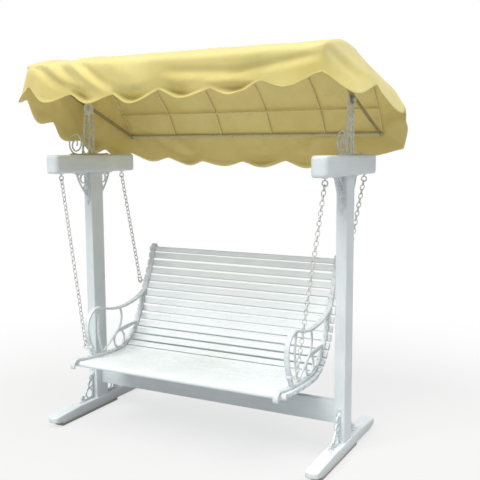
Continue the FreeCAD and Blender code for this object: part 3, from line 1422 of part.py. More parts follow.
doc.recompute()
bad = [obj.Label for obj in doc.Objects if "Invalid" in obj.State or "Error" in obj.State]
bad += [obj.Label for obj in nodes if obj.Shape.isNull() or not obj.Shape.isValid()]
if bad:
    raise RuntimeError("failed: " + ", ".join(bad))
for obj in nodes:
    obj.Shape.exportStep(f"parts/{obj.Label}.step")
print(len(nodes), "nodes,", sum(len(obj.Shape.Solids) for obj in nodes), "solids")

# The pivots of the moving bodies, for the record

for end, way in ENDS:
    along = chain_direction(1, end)
    top = hook_centre(1, end) + along * size("eye_radius")
    if end == "front":
        low = bench_eye(1, end) - along * size("eye_radius")
        front_length = top.z - low.z
    else:
        low = bench_eye(1, end) + along * (end_ring_bottom() - size("end_ring_half_width"))
        print("rear chains turn", front_length / (top.z - low.z), "times as far as the front chains")
    print(f"{end} chains: pivot y {top.y:.3f}, z {top.z:.3f}; lower pivot z {low.z:.3f}")
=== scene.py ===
"""Canopy swing: a slatted bench on chains in a painted timber frame, under a tilting arched canopy."""
import json
import logging
import math
from dataclasses import dataclass
from enum import Enum
from typing import Any, Iterable, Sequence

import bmesh
import bpy
from mathutils import Matrix, Vector, noise

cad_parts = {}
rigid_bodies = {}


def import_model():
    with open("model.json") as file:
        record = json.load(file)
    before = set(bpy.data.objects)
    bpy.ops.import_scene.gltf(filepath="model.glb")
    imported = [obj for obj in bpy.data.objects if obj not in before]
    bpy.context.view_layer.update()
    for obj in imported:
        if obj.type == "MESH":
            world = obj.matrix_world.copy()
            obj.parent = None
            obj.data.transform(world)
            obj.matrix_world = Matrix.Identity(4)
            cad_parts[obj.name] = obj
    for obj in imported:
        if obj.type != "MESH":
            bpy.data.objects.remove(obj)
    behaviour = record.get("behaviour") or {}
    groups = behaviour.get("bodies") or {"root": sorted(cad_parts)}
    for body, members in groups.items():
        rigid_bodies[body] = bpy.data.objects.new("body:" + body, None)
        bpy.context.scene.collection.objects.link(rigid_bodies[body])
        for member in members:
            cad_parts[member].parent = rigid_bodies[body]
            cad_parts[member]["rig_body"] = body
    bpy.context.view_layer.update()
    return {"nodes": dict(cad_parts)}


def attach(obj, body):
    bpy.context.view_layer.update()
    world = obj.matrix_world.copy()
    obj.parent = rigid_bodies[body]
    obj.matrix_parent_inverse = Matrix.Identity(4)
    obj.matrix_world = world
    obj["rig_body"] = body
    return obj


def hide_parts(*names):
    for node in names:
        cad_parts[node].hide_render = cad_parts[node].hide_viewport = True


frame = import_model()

log = logging.getLogger("canopy_swing")
Colour = tuple[float, float, float]
Place = tuple[float, float, float]

MERGE_DISTANCE = 0.00002
GOLDEN_SHARE = 0.6180339887
CAST_CREASE = 60.0
FREE_EDGE = 1e-5


# Shader toolkit

class Shade:
    """A node socket on which arithmetic adds Math nodes to its own tree."""

    def __init__(self, tree: bpy.types.NodeTree, socket: bpy.types.NodeSocket) -> None:
        """Keep a socket with its tree.

        Args:
            tree: The node tree the socket is in.
            socket: An output socket.
        """
        self.tree, self.socket = tree, socket

    def _math(self, operation: str, first: "Shade | float", second: "Shade | float") -> "Shade":
        """One Math node.

        Args:
            operation: Blender's name of the operation.
            first: Left value.
            second: Right value.

        Returns:
            The result.
        """
        node = self.tree.nodes.new("ShaderNodeMath")
        node.operation = operation
        for slot, value in zip(node.inputs, (first, second)):
            connect(self.tree, slot, value)
        return Shade(self.tree, node.outputs[0])

    def __add__(self, other: "Shade | float") -> "Shade":
        """The sum."""
        return self._math("ADD", self, other)

    __radd__ = __add__

    def __sub__(self, other: "Shade | float") -> "Shade":
        """The difference."""
        return self._math("SUBTRACT", self, other)

    def __rsub__(self, other: float) -> "Shade":
        """The difference, the other way round."""
        return self._math("SUBTRACT", other, self)

    def __mul__(self, other: "Shade | float") -> "Shade":
        """The product."""
        return self._math("MULTIPLY", self, other)

    __rmul__ = __mul__

    def smaller(self, other: "Shade | float") -> "Shade":
        """The smaller of two values."""
        return self._math("MINIMUM", self, other)

    def wave(self) -> "Shade":
        """The sine."""
        return self._math("SINE", self, 0.0)

    def size(self) -> "Shade":
        """The value without its sign."""
        return self._math("ABSOLUTE", self, 0.0)


def connect(tree: bpy.types.NodeTree, slot: bpy.types.NodeSocket, value: Any) -> None:
    """Feed an input socket with a link or a constant.

    Args:
        tree: The tree of the socket.
        slot: The input socket.
        value: A Shade, or a number, colour or vector.
    """
    if isinstance(value, Shade):
        tree.links.new(value.socket, slot)
    elif isinstance(value, (tuple, list)) and len(value) == 3 and slot.type == "RGBA":
        slot.default_value = (*value, 1.0)
    else:
        slot.default_value = value


class Surface:
    """One node material while it is put together."""

    def __init__(self, name: str) -> None:
        """Start a material with its Principled shader.

        Args:
            name: Name of the material.
        """
        self.material = bpy.data.materials.new(name)
        self.material.use_nodes = True
        self.tree = self.material.node_tree
        self.shader = self.tree.nodes["Principled BSDF"]

    def node(self, kind: str, settings: dict[str, Any] | None = None,
             inputs: dict[int | str, Any] | None = None, output: int | str = 0) -> Shade:
        """Add any node.

        Args:
            kind: The node's type.
            settings: Its settings, set first; "stops" holds a ramp's positions and colours.
            inputs: Values or links of its input sockets, by name or number.
            output: The output socket to return.

        Returns:
            That output.
        """
        made = self.tree.nodes.new(kind)
        for key, value in (settings or {}).items():
            if key == "stops":
                ramp = made.color_ramp.elements
                while len(ramp) < len(value):
                    ramp.new(0.5)
                for stop, (at, colour) in zip(ramp, value):
                    stop.position, stop.color = at, (*colour, 1.0)
            else:
                setattr(made, key, value)
        for key, value in (inputs or {}).items():
            connect(self.tree, made.inputs[key], value)
        return Shade(self.tree, made.outputs[output])

    def place(self, scale: Sequence[float] = (1, 1, 1), shift: Any = (0, 0, 0)) -> Shade:
        """Object coordinates, scaled and shifted."""
        where = self.node("ShaderNodeTexCoord", output="Object")
        return self.node("ShaderNodeMapping", inputs={
            "Vector": where, "Location": shift, "Scale": tuple(scale)})

    def flat(self, scale: Sequence[float] = (1, 1, 1)) -> Shade:
        """The piece's own UV map in metres, scaled."""
        where = self.node("ShaderNodeUVMap", {"uv_map": "cut"})
        return self.node("ShaderNodeMapping", inputs={"Vector": where, "Scale": tuple(scale)})

    def attribute(self, name: str) -> Shade:
        """A number kept on the mesh."""
        return self.node("ShaderNodeAttribute", {"attribute_name": name}, output="Fac")

    def axis(self, vector: Shade, which: str) -> Shade:
        """One part of a vector, named X, Y or Z."""
        return self.node("ShaderNodeSeparateXYZ", inputs={0: vector}, output=which)

    def cloud(self, where: Shade, scale: float, detail: float = 3.0, rough: float = 0.55,
              stir: float = 0.0) -> Shade:
        """Soft noise from 0 to 1."""
        return self.node("ShaderNodeTexNoise", inputs={
            "Vector": where, "Scale": scale, "Detail": detail, "Roughness": rough, "Distortion": stir})

    def band(self, value: Shade, low: float, high: float, first: float = 0.0,
             last: float = 1.0) -> Shade:
        """The value's way from low to high, smoothly, as a number from first to last."""
        return self.node("ShaderNodeMapRange", {"interpolation_type": "SMOOTHSTEP"}, {
            "Value": value, "From Min": low, "From Max": high, "To Min": first, "To Max": last})

    def tint(self, factor: Shade | float, first: Any, second: Any) -> Shade:
        """A colour between two colours."""
        return self.node("ShaderNodeMix", {"data_type": "RGBA"}, {0: factor, 6: first, 7: second},
                         output=2)

    def relief(self, height: Shade, depth: float, strength: float = 1.0,
               under: Shade | None = None) -> Shade:
        """A bumped normal.

        Args:
            height: Height from 0 to 1.
            depth: What a height of 1 stands for, in metres.
            strength: How much of it shows.
            under: Another bump below this one.

        Returns:
            The normal.
        """
        inputs: dict[int | str, Any] = {"Height": height, "Distance": depth, "Strength": strength}
        if under is not None:
            inputs["Normal"] = under
        return self.node("ShaderNodeBump", inputs=inputs)

    def finish(self, **sockets: Any) -> bpy.types.Material:
        """Feed the shader's sockets; an underscore stands for a space.

        Args:
            sockets: Values or links by socket name.

        Returns:
            The finished material.
        """
        for name, value in sockets.items():
            connect(self.tree, self.shader.inputs[name.replace("_", " ")], value)
        return self.material


class Grain(Enum):
    """The way the grain of a timber piece runs, as the scale of its pattern on each axis."""

    ACROSS = (1.0, 14.0, 14.0)
    DEEP = (14.0, 1.0, 14.0)
    UPRIGHT = (14.0, 14.0, 1.0)


class Finish:
    """A surface finish that makes its material once."""

    name: str

    def build(self) -> bpy.types.Material:
        """Make the material."""
        raise NotImplementedError

    def material(self) -> bpy.types.Material:
        """The finish's material, made on first use."""
        return bpy.data.materials.get(self.name) or self.build()


@dataclass(frozen=True)
class PaintedTimber(Finish):
    """White brushed paint over planed boards; each scale is that of a noise, each depth is in metres."""

    name: str
    grain: Grain
    paint: Colour = (0.770, 0.820, 0.850)
    shade: Colour = (0.670, 0.725, 0.750)
    bare: Colour = (0.330, 0.245, 0.150)
    grime: Colour = (0.300, 0.290, 0.235)
    damp: float = 0.0
    fibre_scale: float = 9.0
    brush_scale: float = 34.0
    patch_scale: float = 3.2
    speck_scale: float = 75.0
    brush_depth: float = 0.0007
    chip_depth: float = 0.0005

    def build(self) -> bpy.types.Material:
        """Brush marks and grain run along the piece; worn edges and grime come with noise.

        Returns:
            The material.
        """
        s = Surface(self.name)
        part = s.attribute("part")
        shift = s.node("ShaderNodeCombineXYZ", inputs={0: part * 3.1, 1: part * 7.7, 2: part * 5.3})
        where = s.place(self.grain.value, shift=shift)
        world = s.place()
        fibre = s.cloud(where, self.fibre_scale, 5.0, 0.6, 0.35)
        brush = s.cloud(where, self.brush_scale, 2.0, 0.5)
        patch = s.cloud(world, self.patch_scale, 3.0)
        speck = s.cloud(world, self.speck_scale, 3.0, 0.6)
        edge = s.attribute("edge")
        chips = s.band(edge * 0.42 + speck * 0.55 + patch * 0.25, 0.95, 1.03)
        rubbed = edge * s.band(patch + speck * 0.3, 0.45, 0.95) * 0.35
        colour = s.tint(s.band(patch * 0.6 + fibre * 0.4, 0.36, 0.68), self.shade, self.paint)
        colour = s.tint(s.band(brush, 0.34, 0.72) * 0.16, colour, self.shade)
        colour = s.tint(s.band(part, 0.0, 1.0, 0.0, 0.10), colour, self.shade)
        colour = s.tint(rubbed, colour, self.shade)
        colour = s.tint(chips, colour, self.bare)
        if self.damp > 0:
            height = s.axis(world, "Z")
            splash = s.band(height - patch * self.damp * 0.8, 0.0, self.damp, 1.0, 0.0)
            colour = s.tint(splash * (0.15 + 0.40 * speck), colour, self.grime)
        relief = s.relief(brush * 0.5 + fibre, self.brush_depth, 0.55)
        relief = s.relief(1 - chips, self.chip_depth, 0.5, relief)
        rough = 0.36 + 0.20 * brush + 0.25 * chips + 0.10 * patch
        return s.finish(Base_Color=colour, Roughness=rough, Normal=relief, Specular_IOR_Level=0.45)


@dataclass(frozen=True)
class PaintedIron(Finish):
    """White paint over cast iron: sand-cast grain, lumps and rare spots of rust."""

    name: str = "painted_cast_iron"
    paint: Colour = (0.750, 0.800, 0.825)
    shade: Colour = (0.600, 0.650, 0.665)
    rust: Colour = (0.235, 0.120, 0.055)
    sand_scale: float = 420.0
    lump_scale: float = 46.0
    patch_scale: float = 7.0
    spot_scale: float = 130.0
    sand_depth: float = 0.0004
    lump_depth: float = 0.0012

    def build(self) -> bpy.types.Material:
        """Grain and pits in the relief, shade in the hollows, rust in a few spots.

        Returns:
            The material.
        """
        s = Surface(self.name)
        where = s.place()
        sand = s.cloud(where, self.sand_scale, 3.0, 0.6)
        lumps = s.cloud(where, self.lump_scale, 3.0, 0.5)
        patch = s.cloud(where, self.patch_scale, 3.0)
        spots = s.band(s.cloud(where, self.spot_scale, 4.0, 0.7) * 0.7 + patch * 0.5, 0.86, 0.96)
        colour = s.tint(s.band(lumps * 0.5 + patch * 0.5, 0.36, 0.66), self.shade, self.paint)
        colour = s.tint(spots * 0.8, colour, self.rust)
        relief = s.relief(sand, self.sand_depth, 0.5, s.relief(lumps, self.lump_depth, 0.45))
        rough = 0.38 + 0.22 * sand + 0.3 * spots
        return s.finish(Base_Color=colour, Roughness=rough, Normal=relief, Specular_IOR_Level=0.45)


@dataclass(frozen=True)
class WornPaint(Finish):
    """Paint on steel that has rubbed off in patches."""

    name: str
    paint: Colour
    metal: Colour
    worn: float = 0.35
    scale: float = 60.0
    fineness: float = 6.0
    depth: float = 0.0003

    def build(self) -> bpy.types.Material:
        """A mask of noise shows the metal under the paint.

        Returns:
            The material.
        """
        s = Surface(self.name)
        where = s.place()
        patch = s.cloud(where, self.scale, 4.0, 0.6)
        fine = s.cloud(where, self.scale * self.fineness, 3.0, 0.6)
        bare = s.band(patch * 0.75 + fine * 0.25, 0.60 - 0.2 * self.worn, 0.72 - 0.2 * self.worn)
        dull = s.tint(s.band(fine, 0.35, 0.65) * 0.3, self.paint, self.metal)
        colour = s.tint(bare, dull, self.metal)
        relief = s.relief(1 - bare * 0.6 + fine * 0.4, self.depth, 0.5)
        return s.finish(Base_Color=colour, Roughness=0.42 + 0.2 * fine - 0.1 * bare, Normal=relief,
                        Metallic=bare * 0.7)


class Face(Enum):
    """A side of the canopy cloth."""

    OUTSIDE = "canopy_cloth_outside"
    UNDERSIDE = "canopy_cloth_underside_lit"


@dataclass(frozen=True)
class CanopyCloth(Finish):
    """Pale yellow plain weave with a stitched hem, paler towards the top and dusty below, with painted shade
    above the curled lips and a painted highlight on the turned hem.
    """

    face: Face
    bright: Colour
    deep: Colour
    stain: Colour
    # Painted shade above the curled lips: its colour, and further down, how strongly it shows.
    hollow_shade_colour: Colour = (0.270, 0.210, 0.050)
    paler_top: Colour = (0.755, 0.695, 0.370)
    paler_top_band: tuple[float, float, float] = (2.13, 2.26, 0.30)
    hollow_shade_share: float = 0.85
    thread_scale: float = 2600.0
    slub_scale: tuple[float, float] = (900, 14)
    stitch_scale: float = 900.0
    hem_width: float = 0.0125
    seam_width: float = 0.0022
    weave_depth: float = 0.0004
    hem_depth: float = 0.0008

    @property
    def name(self) -> str:
        """The material's name."""
        return self.face.value

    def build(self) -> bpy.types.Material:
        """Threads over and under each other, slubs, a hem line with stitches and soft stains.

        Returns:
            The material.
        """
        s = Surface(self.name)
        cut = s.flat()
        x, y = s.axis(cut, "X"), s.axis(cut, "Y")
        over = (x * self.thread_scale).wave() * (y * self.thread_scale).wave()
        along, across = self.slub_scale
        slub_x = s.cloud(s.flat((along, across, 1)), 1.0, 2.0)
        slub_y = s.cloud(s.flat((across, along, 1)), 1.0, 2.0)
        slubs = slub_x * 0.5 + slub_y * 0.5
        hem = s.attribute("hem")
        hem_line = s.band((hem - self.hem_width).size(), 0.0, self.seam_width, 1.0, 0.0)
        stitch = hem_line * s.band(((x + y) * self.stitch_scale).wave(), -0.2, 0.3)
        turned = s.band(hem, self.hem_width - 0.001, self.hem_width + 0.001, 1.0, 0.0)
        patch = s.cloud(s.place(), 2.6, 4.0, 0.6)
        dust = s.cloud(s.place(), 11.0, 4.0, 0.65)
        colour = s.tint(s.band(patch, 0.34, 0.66), self.deep, self.bright)
        colour = s.tint(s.band(slubs, 0.40, 0.62) * 0.22, colour, self.deep)
        colour = s.tint(s.band(over, -0.6, 0.6, 0.16, 0.0), colour, self.deep)
        colour = s.tint(s.band(dust * 0.7 + patch * 0.3, 0.52, 0.72) * 0.28, colour, self.stain)
        if self.face is Face.OUTSIDE:
            # Paler towards the top of the roof.
            low, high, most = self.paler_top_band
            colour = s.tint(s.band(s.axis(s.place(), "Z"), low, high, 0.0, most), colour, self.paler_top)
        # Painted shade: the cloth is darkened towards deep olive in the dip above each curled lip, where it
        # lies in shadow.
        colour = s.tint(s.attribute("hollow") * self.hollow_shade_share, colour, self.hollow_shade_colour)
        # Painted highlight: the turned hem is lightened towards the bright tone where its lip catches the
        # light.
        colour = s.tint(turned * 0.22, colour, self.bright)
        colour = s.tint(hem_line * 0.25 - stitch * 0.15, colour, self.stain)
        relief = s.relief(over * 0.5 + slubs, self.weave_depth, 0.55)
        relief = s.relief(turned * 0.7 - hem_line * 0.8 + stitch * 0.5, self.hem_depth, 0.7, relief)
        rough = 0.84 + 0.10 * slubs
        return s.finish(Base_Color=colour, Roughness=rough, Normal=relief, Specular_IOR_Level=0.18,
                        Sheen_Weight=0.25, Sheen_Roughness=0.5)


TIMBER = {grain: PaintedTimber(f"painted_timber_{grain.name.lower()}", grain) for grain in Grain}
SLAT_TIMBER = PaintedTimber("painted_timber_slats", Grain.ACROSS,
                            (0.825, 0.880, 0.910), (0.745, 0.800, 0.825))
FOOT_TIMBER = PaintedTimber("painted_timber_feet", Grain.DEEP, damp=0.05)
SOLE_TIMBER = PaintedTimber("painted_timber_soles", Grain.DEEP,
                            (0.60, 0.62, 0.57), (0.42, 0.43, 0.37), damp=0.03)
IRON = PaintedIron()
# A darker, greener copy of the white iron paint for the masts: painted shade, as they stand under the
# canopy.
MAST_IRON_SHADED = PaintedIron("painted_mast_iron_shaded", (0.720, 0.750, 0.690), (0.550, 0.570, 0.500))
CHAIN_STEEL = WornPaint("chain_paint_worn", (0.72, 0.75, 0.73), (0.36, 0.36, 0.35), 0.42, 90.0)
CANOPY_STEEL = WornPaint("canopy_bar_paint", (0.60, 0.57, 0.38), (0.40, 0.36, 0.22), 0.25, 30.0)
HOOP_STEEL = WornPaint("canopy_hoop_paint", (0.80, 0.69, 0.34), (0.62, 0.52, 0.25), 0.20, 30.0)
RAIL_STEEL = WornPaint("canopy_rail_paint", (0.36, 0.31, 0.18), (0.22, 0.18, 0.10), 0.30, 30.0)
FASTENER = WornPaint("painted_screw_heads", (0.66, 0.69, 0.70), (0.30, 0.27, 0.22), 0.45, 140.0)
CLOTH_OUTSIDE = CanopyCloth(Face.OUTSIDE,
                            (0.735, 0.634, 0.250), (0.655, 0.553, 0.190), (0.530, 0.430, 0.145))
# The underside has brighter colours than the outside: painted light standing for the sun shining through the
# cloth.
CLOTH_UNDERSIDE_LIT = CanopyCloth(Face.UNDERSIDE,
                              (0.860, 0.725, 0.300), (0.770, 0.635, 0.245), (0.600, 0.490, 0.190))


# Mesh toolkit

def ramp(value: float, start: float, span: float) -> float:
    """The value's way past the start, as a share of the span from 0 to 1."""
    return min(1.0, max(0.0, (value - start) / span))


def ease(share: float) -> float:
    """A share from 0 to 1 that starts and ends softly."""
    return share * share * (3 - 2 * share)


def as_mesh(bm: bmesh.types.BMesh, name: str) -> bpy.types.Mesh:
    """A mesh datablock.

    Args:
        bm: The mesh, which is freed.
        name: Name of the datablock.

    Returns:
        The datablock.
    """
    mesh = bpy.data.meshes.new(name)
    bm.to_mesh(mesh)
    bm.free()
    return mesh


def in_scene(name: str, data: bpy.types.ID) -> bpy.types.Object:
    """An object in the scene.

    Args:
        name: Its name.
        data: Its mesh, camera or lamp.

    Returns:
        The object, at the origin.
    """
    made = bpy.data.objects.new(name, data)
    bpy.context.scene.collection.objects.link(made)
    return made


def soften(bm: bmesh.types.BMesh, verts: Sequence[bmesh.types.BMVert], rounds: int) -> None:
    """Smooth vertices.

    Args:
        bm: The mesh.
        verts: The vertices.
        rounds: How often they are smoothed.
    """
    for _ in range(rounds):
        bmesh.ops.smooth_vert(bm, verts=verts, factor=0.5, use_axis_x=True, use_axis_y=True, use_axis_z=True)


def merged_copy(node: str) -> bmesh.types.BMesh:
    """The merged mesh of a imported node.

    Args:
        node: Name of the node.

    Returns:
        A new mesh with its loose triangles joined.
    """
    bm = bmesh.new()
    bm.from_mesh(frame["nodes"][node].data)
    bmesh.ops.remove_doubles(bm, verts=bm.verts, dist=MERGE_DISTANCE)
    return bm


def islands(bm: bmesh.types.BMesh) -> list[list[bmesh.types.BMVert]]:
    """The separate shells of a mesh.

    Args:
        bm: The mesh.

    Returns:
        The vertices of each shell.
    """
    bm.verts.ensure_lookup_table()
    seen: set[int] = set()
    found = []
    for start in bm.verts:
        if start.index in seen:
            continue
        seen.add(start.index)
        shell, queue = [], [start]
        while queue:
            vert = queue.pop()
            shell.append(vert)
            for edge in vert.link_edges:
                other = edge.other_vert(vert)
                if other.index not in seen:
                    seen.add(other.index)
                    queue.append(other)
        found.append(shell)
    return found


def mark(bm: bmesh.types.BMesh, narrow: float) -> None:
    """Number each shell in "part" and flag the narrow faces of rounded edges in "edge".

    Args:
        bm: The mesh.
        narrow: Faces thinner than this are part of a rounded edge, in metres.
    """
    bm.verts.index_update()
    part = bm.loops.layers.float.new("part")
    edge = bm.loops.layers.float.new("edge")
    for number, shell in enumerate(islands(bm)):
        value = (number * GOLDEN_SHARE) % 1.0
        for vert in shell:
            for loop in vert.link_loops:
                loop[part] = value
    for face in bm.faces:
        longest = max(e.calc_length() for e in face.edges)
        if face.calc_area() * 2 < narrow * longest:
            for loop in face.loops:
                loop[edge] = 1.0


def show(bm: bmesh.types.BMesh, name: str, body: str, finishes: Sequence[Finish],
         replaced: Iterable[str] = (), crease: float = 32.0, weighted: bool = False) -> bpy.types.Object:
    """Turn a mesh into a finished piece.

    Args:
        bm: The mesh, which is freed.
        name: Name of the piece.
        body: The body it rides on.
        finishes: Its finishes, in the order of its material numbers.
        replaced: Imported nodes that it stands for.
        crease: Edges sharper than this many degrees stay sharp.
        weighted: Whether large faces keep their own normals.

    Returns:
        The piece's object.
    """
    for face in bm.faces:
        face.smooth = True
    mesh = as_mesh(bm, name)
    mesh.set_sharp_from_angle(angle=math.radians(crease))
    piece = in_scene(name, mesh)
    for finish in finishes:
        mesh.materials.append(finish.material())
    if weighted:
        modifier = piece.modifiers.new("even_faces", "WEIGHTED_NORMAL")
        modifier.keep_sharp = True
    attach(piece, body)
    if replaced:
        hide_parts(*replaced)
    log.info("%s: %d faces", name, len(mesh.polygons))
    return piece


def dressed(node: str, finish: Finish, narrow: float = 0.0045,
            crease: float = 32.0) -> bpy.types.Object:
    """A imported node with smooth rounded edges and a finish.

    Args:
        node: Name of the node.
        finish: Its finish.
        narrow: Faces thinner than this count as edges.
        crease: Edges sharper than this stay sharp, in degrees.

    Returns:
        The piece.
    """
    bm = merged_copy(node)
    mark(bm, narrow)
    body = frame["nodes"][node]["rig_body"]
    return show(bm, f"{node}_finished", body, [finish], [node], crease, True)


def cast(node: str, finish: Finish, voxel: float, rounds: int = 3) -> bpy.types.Object:
    """A packed casting with the soft edges and filled corners of poured iron.

    Args:
        node: Name of the node.
        finish: Its finish.
        voxel: Size of the grid, in metres.
        rounds: How often the surface is smoothed.

    Returns:
        The piece.
    """
    rough = as_mesh(merged_copy(node), f"{node}_blank")
    blank = in_scene(f"{node}_blank", rough)
    skin = blank.modifiers.new("skin", "REMESH")
    skin.mode = "VOXEL"
    skin.voxel_size = voxel
    depsgraph = bpy.context.evaluated_depsgraph_get()
    filled = bpy.data.meshes.new_from_object(blank.evaluated_get(depsgraph))
    bm = bmesh.new()
    bm.from_mesh(filled)
    soften(bm, bm.verts, rounds)
    bpy.data.objects.remove(blank)
    bpy.data.meshes.remove(rough)
    bpy.data.meshes.remove(filled)
    body = frame["nodes"][node]["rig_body"]
    return show(bm, f"{node}_casting", body, [finish], [node], CAST_CREASE)


# The object, one class for each sub-assembly

SIDES = ("left", "right")
ENDS = ("front", "rear")

NO_EDGE = 0.0
SCREW_EDGE = 0.001
LINK_CREASE = 50.0
BAR_CREASE = 40.0
CLOTH_CREASE = 180.0


@dataclass
class TimberFrame:
    """Feet, posts, cross beams and the stretcher."""

    narrow: float = 0.0045
    wide_round: float = 0.0085
    beam_voxel: float = 0.0035
    beam_rounds: int = 26

    def build(self) -> None:
        """Dress every board with its grain in its own direction, and round the beams softly."""
        for side in SIDES:
            dressed(f"{side}_post", TIMBER[Grain.UPRIGHT], self.narrow)
            cast(f"{side}_cross_beam", TIMBER[Grain.DEEP], self.beam_voxel,
                 self.beam_rounds)
            dressed(f"{side}_foot", FOOT_TIMBER, self.wide_round)
            dressed(f"{side}_foot_sole", SOLE_TIMBER, self.narrow)
        dressed("stretcher", TIMBER[Grain.ACROSS], self.narrow)
        dressed("stretcher_pegs", TIMBER[Grain.DEEP], self.narrow)


@dataclass
class Castings:
    """The iron brackets of the frame and the masts of the canopy."""

    voxel: float = 0.0018

    def build(self) -> None:
        """Pour each bracket and mast, and drive their screws."""
        for side in SIDES:
            for end in ENDS:
                for place in ("foot", "beam"):
                    cast(f"{side}_{end}_{place}_bracket", IRON, self.voxel)
            cast(f"{side}_canopy_mast", MAST_IRON_SHADED, self.voxel)
        for node in ("bracket_screws", "mast_screws"):
            dressed(node, FASTENER, SCREW_EDGE)


@dataclass
class Bench:
    """The slatted seat and back with their iron side rails and arms."""

    rail_voxel: float = 0.0022
    arm_voxel: float = 0.0020
    narrow: float = 0.0030

    def build(self) -> None:
        """Dress the slats, pour the rails and arms, and place eyes and screws."""
        for node in ("back_slats", "seat_slats", "front_slat", "top_slat"):
            dressed(node, SLAT_TIMBER, self.narrow)
        for side in SIDES:
            cast(f"bench_{side}_rail", IRON, self.rail_voxel)
            cast(f"bench_{side}_arm", IRON, self.arm_voxel)
        dressed("slat_screws", FASTENER, SCREW_EDGE)
        for node in ("bench_front_eyes", "bench_rear_stirrups"):
            dressed(node, CHAIN_STEEL, NO_EDGE, LINK_CREASE)


@dataclass
class Chains:
    """The four chains: every link is laid where its packed link is."""

    wire: float = 0.003
    sides: int = 6
    turns: int = 4
    weld_share: float = 0.05

    def link(self, bm: bmesh.types.BMesh, half_width: float, half_length: float, place: Matrix) -> None:
        """Bend one link from a round section.

        Args:
            bm: The mesh it is added to.
            half_width: From its middle to the centre of the wire, across.
            half_length: Half of its straight part.
            place: Where it goes; its length is along Z and its width along X.
        """
        ring = bmesh.ops.create_circle(bm, segments=self.sides, radius=self.wire,
                                       matrix=Matrix.Translation((half_width, 0, -half_length)))["verts"]
        edges = list(dict.fromkeys(e for v in ring for e in v.link_edges))
        for way in (1, -1):
            if half_length > 0:
                geometry = bmesh.ops.extrude_edge_only(bm, edges=edges)["geom"]
                moved = [v for v in geometry if isinstance(v, bmesh.types.BMVert)]
                bmesh.ops.translate(bm, verts=moved, vec=(0, 0, way * 2 * half_length))
                edges = [e for e in geometry
                         if isinstance(e, bmesh.types.BMEdge) and all(v in moved for v in e.verts)]
            ends = list(dict.fromkeys(v for e in edges for v in e.verts))
            turn = bmesh.ops.spin(bm, geom=edges + ends, cent=(0, 0, way * half_length), axis=(0, -1, 0),
                                  angle=math.pi, steps=self.turns)["geom_last"]
            edges = [e for e in turn if isinstance(e, bmesh.types.BMEdge)]
        walked: dict[bmesh.types.BMVert, None] = {}
        queue = list(ring)
        while queue:
            vert = queue.pop()
            if vert not in walked:
                walked[vert] = None
                queue.extend(e.other_vert(vert) for e in vert.link_edges)
        weld = self.wire * self.weld_share
        joined = bmesh.ops.find_doubles(bm, verts=list(walked), dist=weld)["targetmap"]
        bmesh.ops.weld_verts(bm, targetmap=joined)
        shell = [v for v in walked if v.is_valid]
        faces = list(dict.fromkeys(f for v in shell for f in v.link_faces))
        bmesh.ops.recalc_face_normals(bm, faces=faces)
        bmesh.ops.transform(bm, matrix=place, verts=shell)

    def chain(self, node: str) -> None:
        """Lay one chain.

        Args:
            node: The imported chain.
        """
        packed = merged_copy(node)
        shells = [[v.co.copy() for v in shell] for shell in islands(packed)]
        packed.free()
        centres = [sum(shell, Vector()) / len(shell) for shell in shells]
        top, bottom = max(centres, key=lambda c: c.z), min(centres, key=lambda c: c.z)
        along = (top - bottom).normalized()
        across = [Vector((1, 0, 0)), along.cross(Vector((1, 0, 0))).normalized()]
        bm = bmesh.new()
        for shell, centre in zip(shells, centres):
            reach = [max((p - centre).dot(a) for p in shell) for a in (*across, along)]
            wide = 0 if reach[0] > reach[1] else 1
            half_width = reach[wide] - self.wire
            lengths = [(p - centre).dot(along) for p in shell]
            middle = centre + along * (max(lengths) + min(lengths)) / 2
            half_length = max(0.0, reach[2] - self.wire - half_width)
            x = across[wide]
            y = along.cross(x)
            place = Matrix((x, y, along)).transposed().to_4x4()
            place.translation = middle
            self.link(bm, half_width, half_length, place)
        body = frame["nodes"][node]["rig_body"]
        show(bm, f"{node}_links", body, [CHAIN_STEEL], [node], LINK_CREASE)

    def build(self) -> None:
        """Lay the chains and dress the eye bolts under the beams."""
        for side in SIDES:
            for end in ENDS:
                self.chain(f"{side}_{end}_chain")
            dressed(f"{side}_chain_hooks", CHAIN_STEEL, NO_EDGE, LINK_CREASE)


@dataclass
class CanopyFrame:
    """Bars, hoops, tie rod, side rails and pivots of the canopy."""

    hoops: int = 6

    def build(self) -> list[str]:
        """Dress every bar.

        Returns:
            The names of the pieces the cloth lies on.
        """
        bars = [(f"canopy_{end}_bar", CANOPY_STEEL) for end in ENDS]
        bars.append(("canopy_purlin", HOOP_STEEL))
        bars += [(f"canopy_hoop_{i + 1}", HOOP_STEEL) for i in range(self.hoops)]
        carrying = [dressed(node, finish, NO_EDGE, BAR_CREASE).name for node, finish in bars]
        for side in SIDES:
            dressed(f"canopy_{side}_rail", RAIL_STEEL, NO_EDGE, BAR_CREASE)
            dressed(f"{side}_canopy_pivot", FASTENER, NO_EDGE, BAR_CREASE)
        return carrying


@dataclass(frozen=True)
class Fold:
    """A soft fold of the cloth between two points of the flat cut, in metres."""

    start: tuple[float, float]
    end: tuple[float, float]
    height: float
    width: float
    overrun: float = 0.2

    def rise(self, x: float, y: float) -> float:
        """How far the fold lifts the cloth at a point of the cut.

        Args:
            x: Across the swing.
            y: Front to back.

        Returns:
            The lift, outwards, in metres.
        """
        ax, ay = self.start
        dx, dy = self.end[0] - ax, self.end[1] - ay
        length = math.hypot(dx, dy)
        along = ((x - ax) * dx + (y - ay) * dy) / (length * length)
        off = ((x - ax) * dy - (y - ay) * dx) / length
        if not -self.overrun < along < 1 + self.overrun:
            return 0.0
        span = 2 * self.overrun
        fade = ramp(along, -self.overrun, span) * ramp(-along, -1 - self.overrun, span)
        return self.height * math.exp(-(off / self.width) ** 2) * ease(fade)


FLAT_LIP = (0.0, 0.5, 0.3)
SHARES = ("share_u", "share_v", "row")
NO_HEM = 0.5
FlatCut = dict[bmesh.types.BMVert, tuple[float, float]]


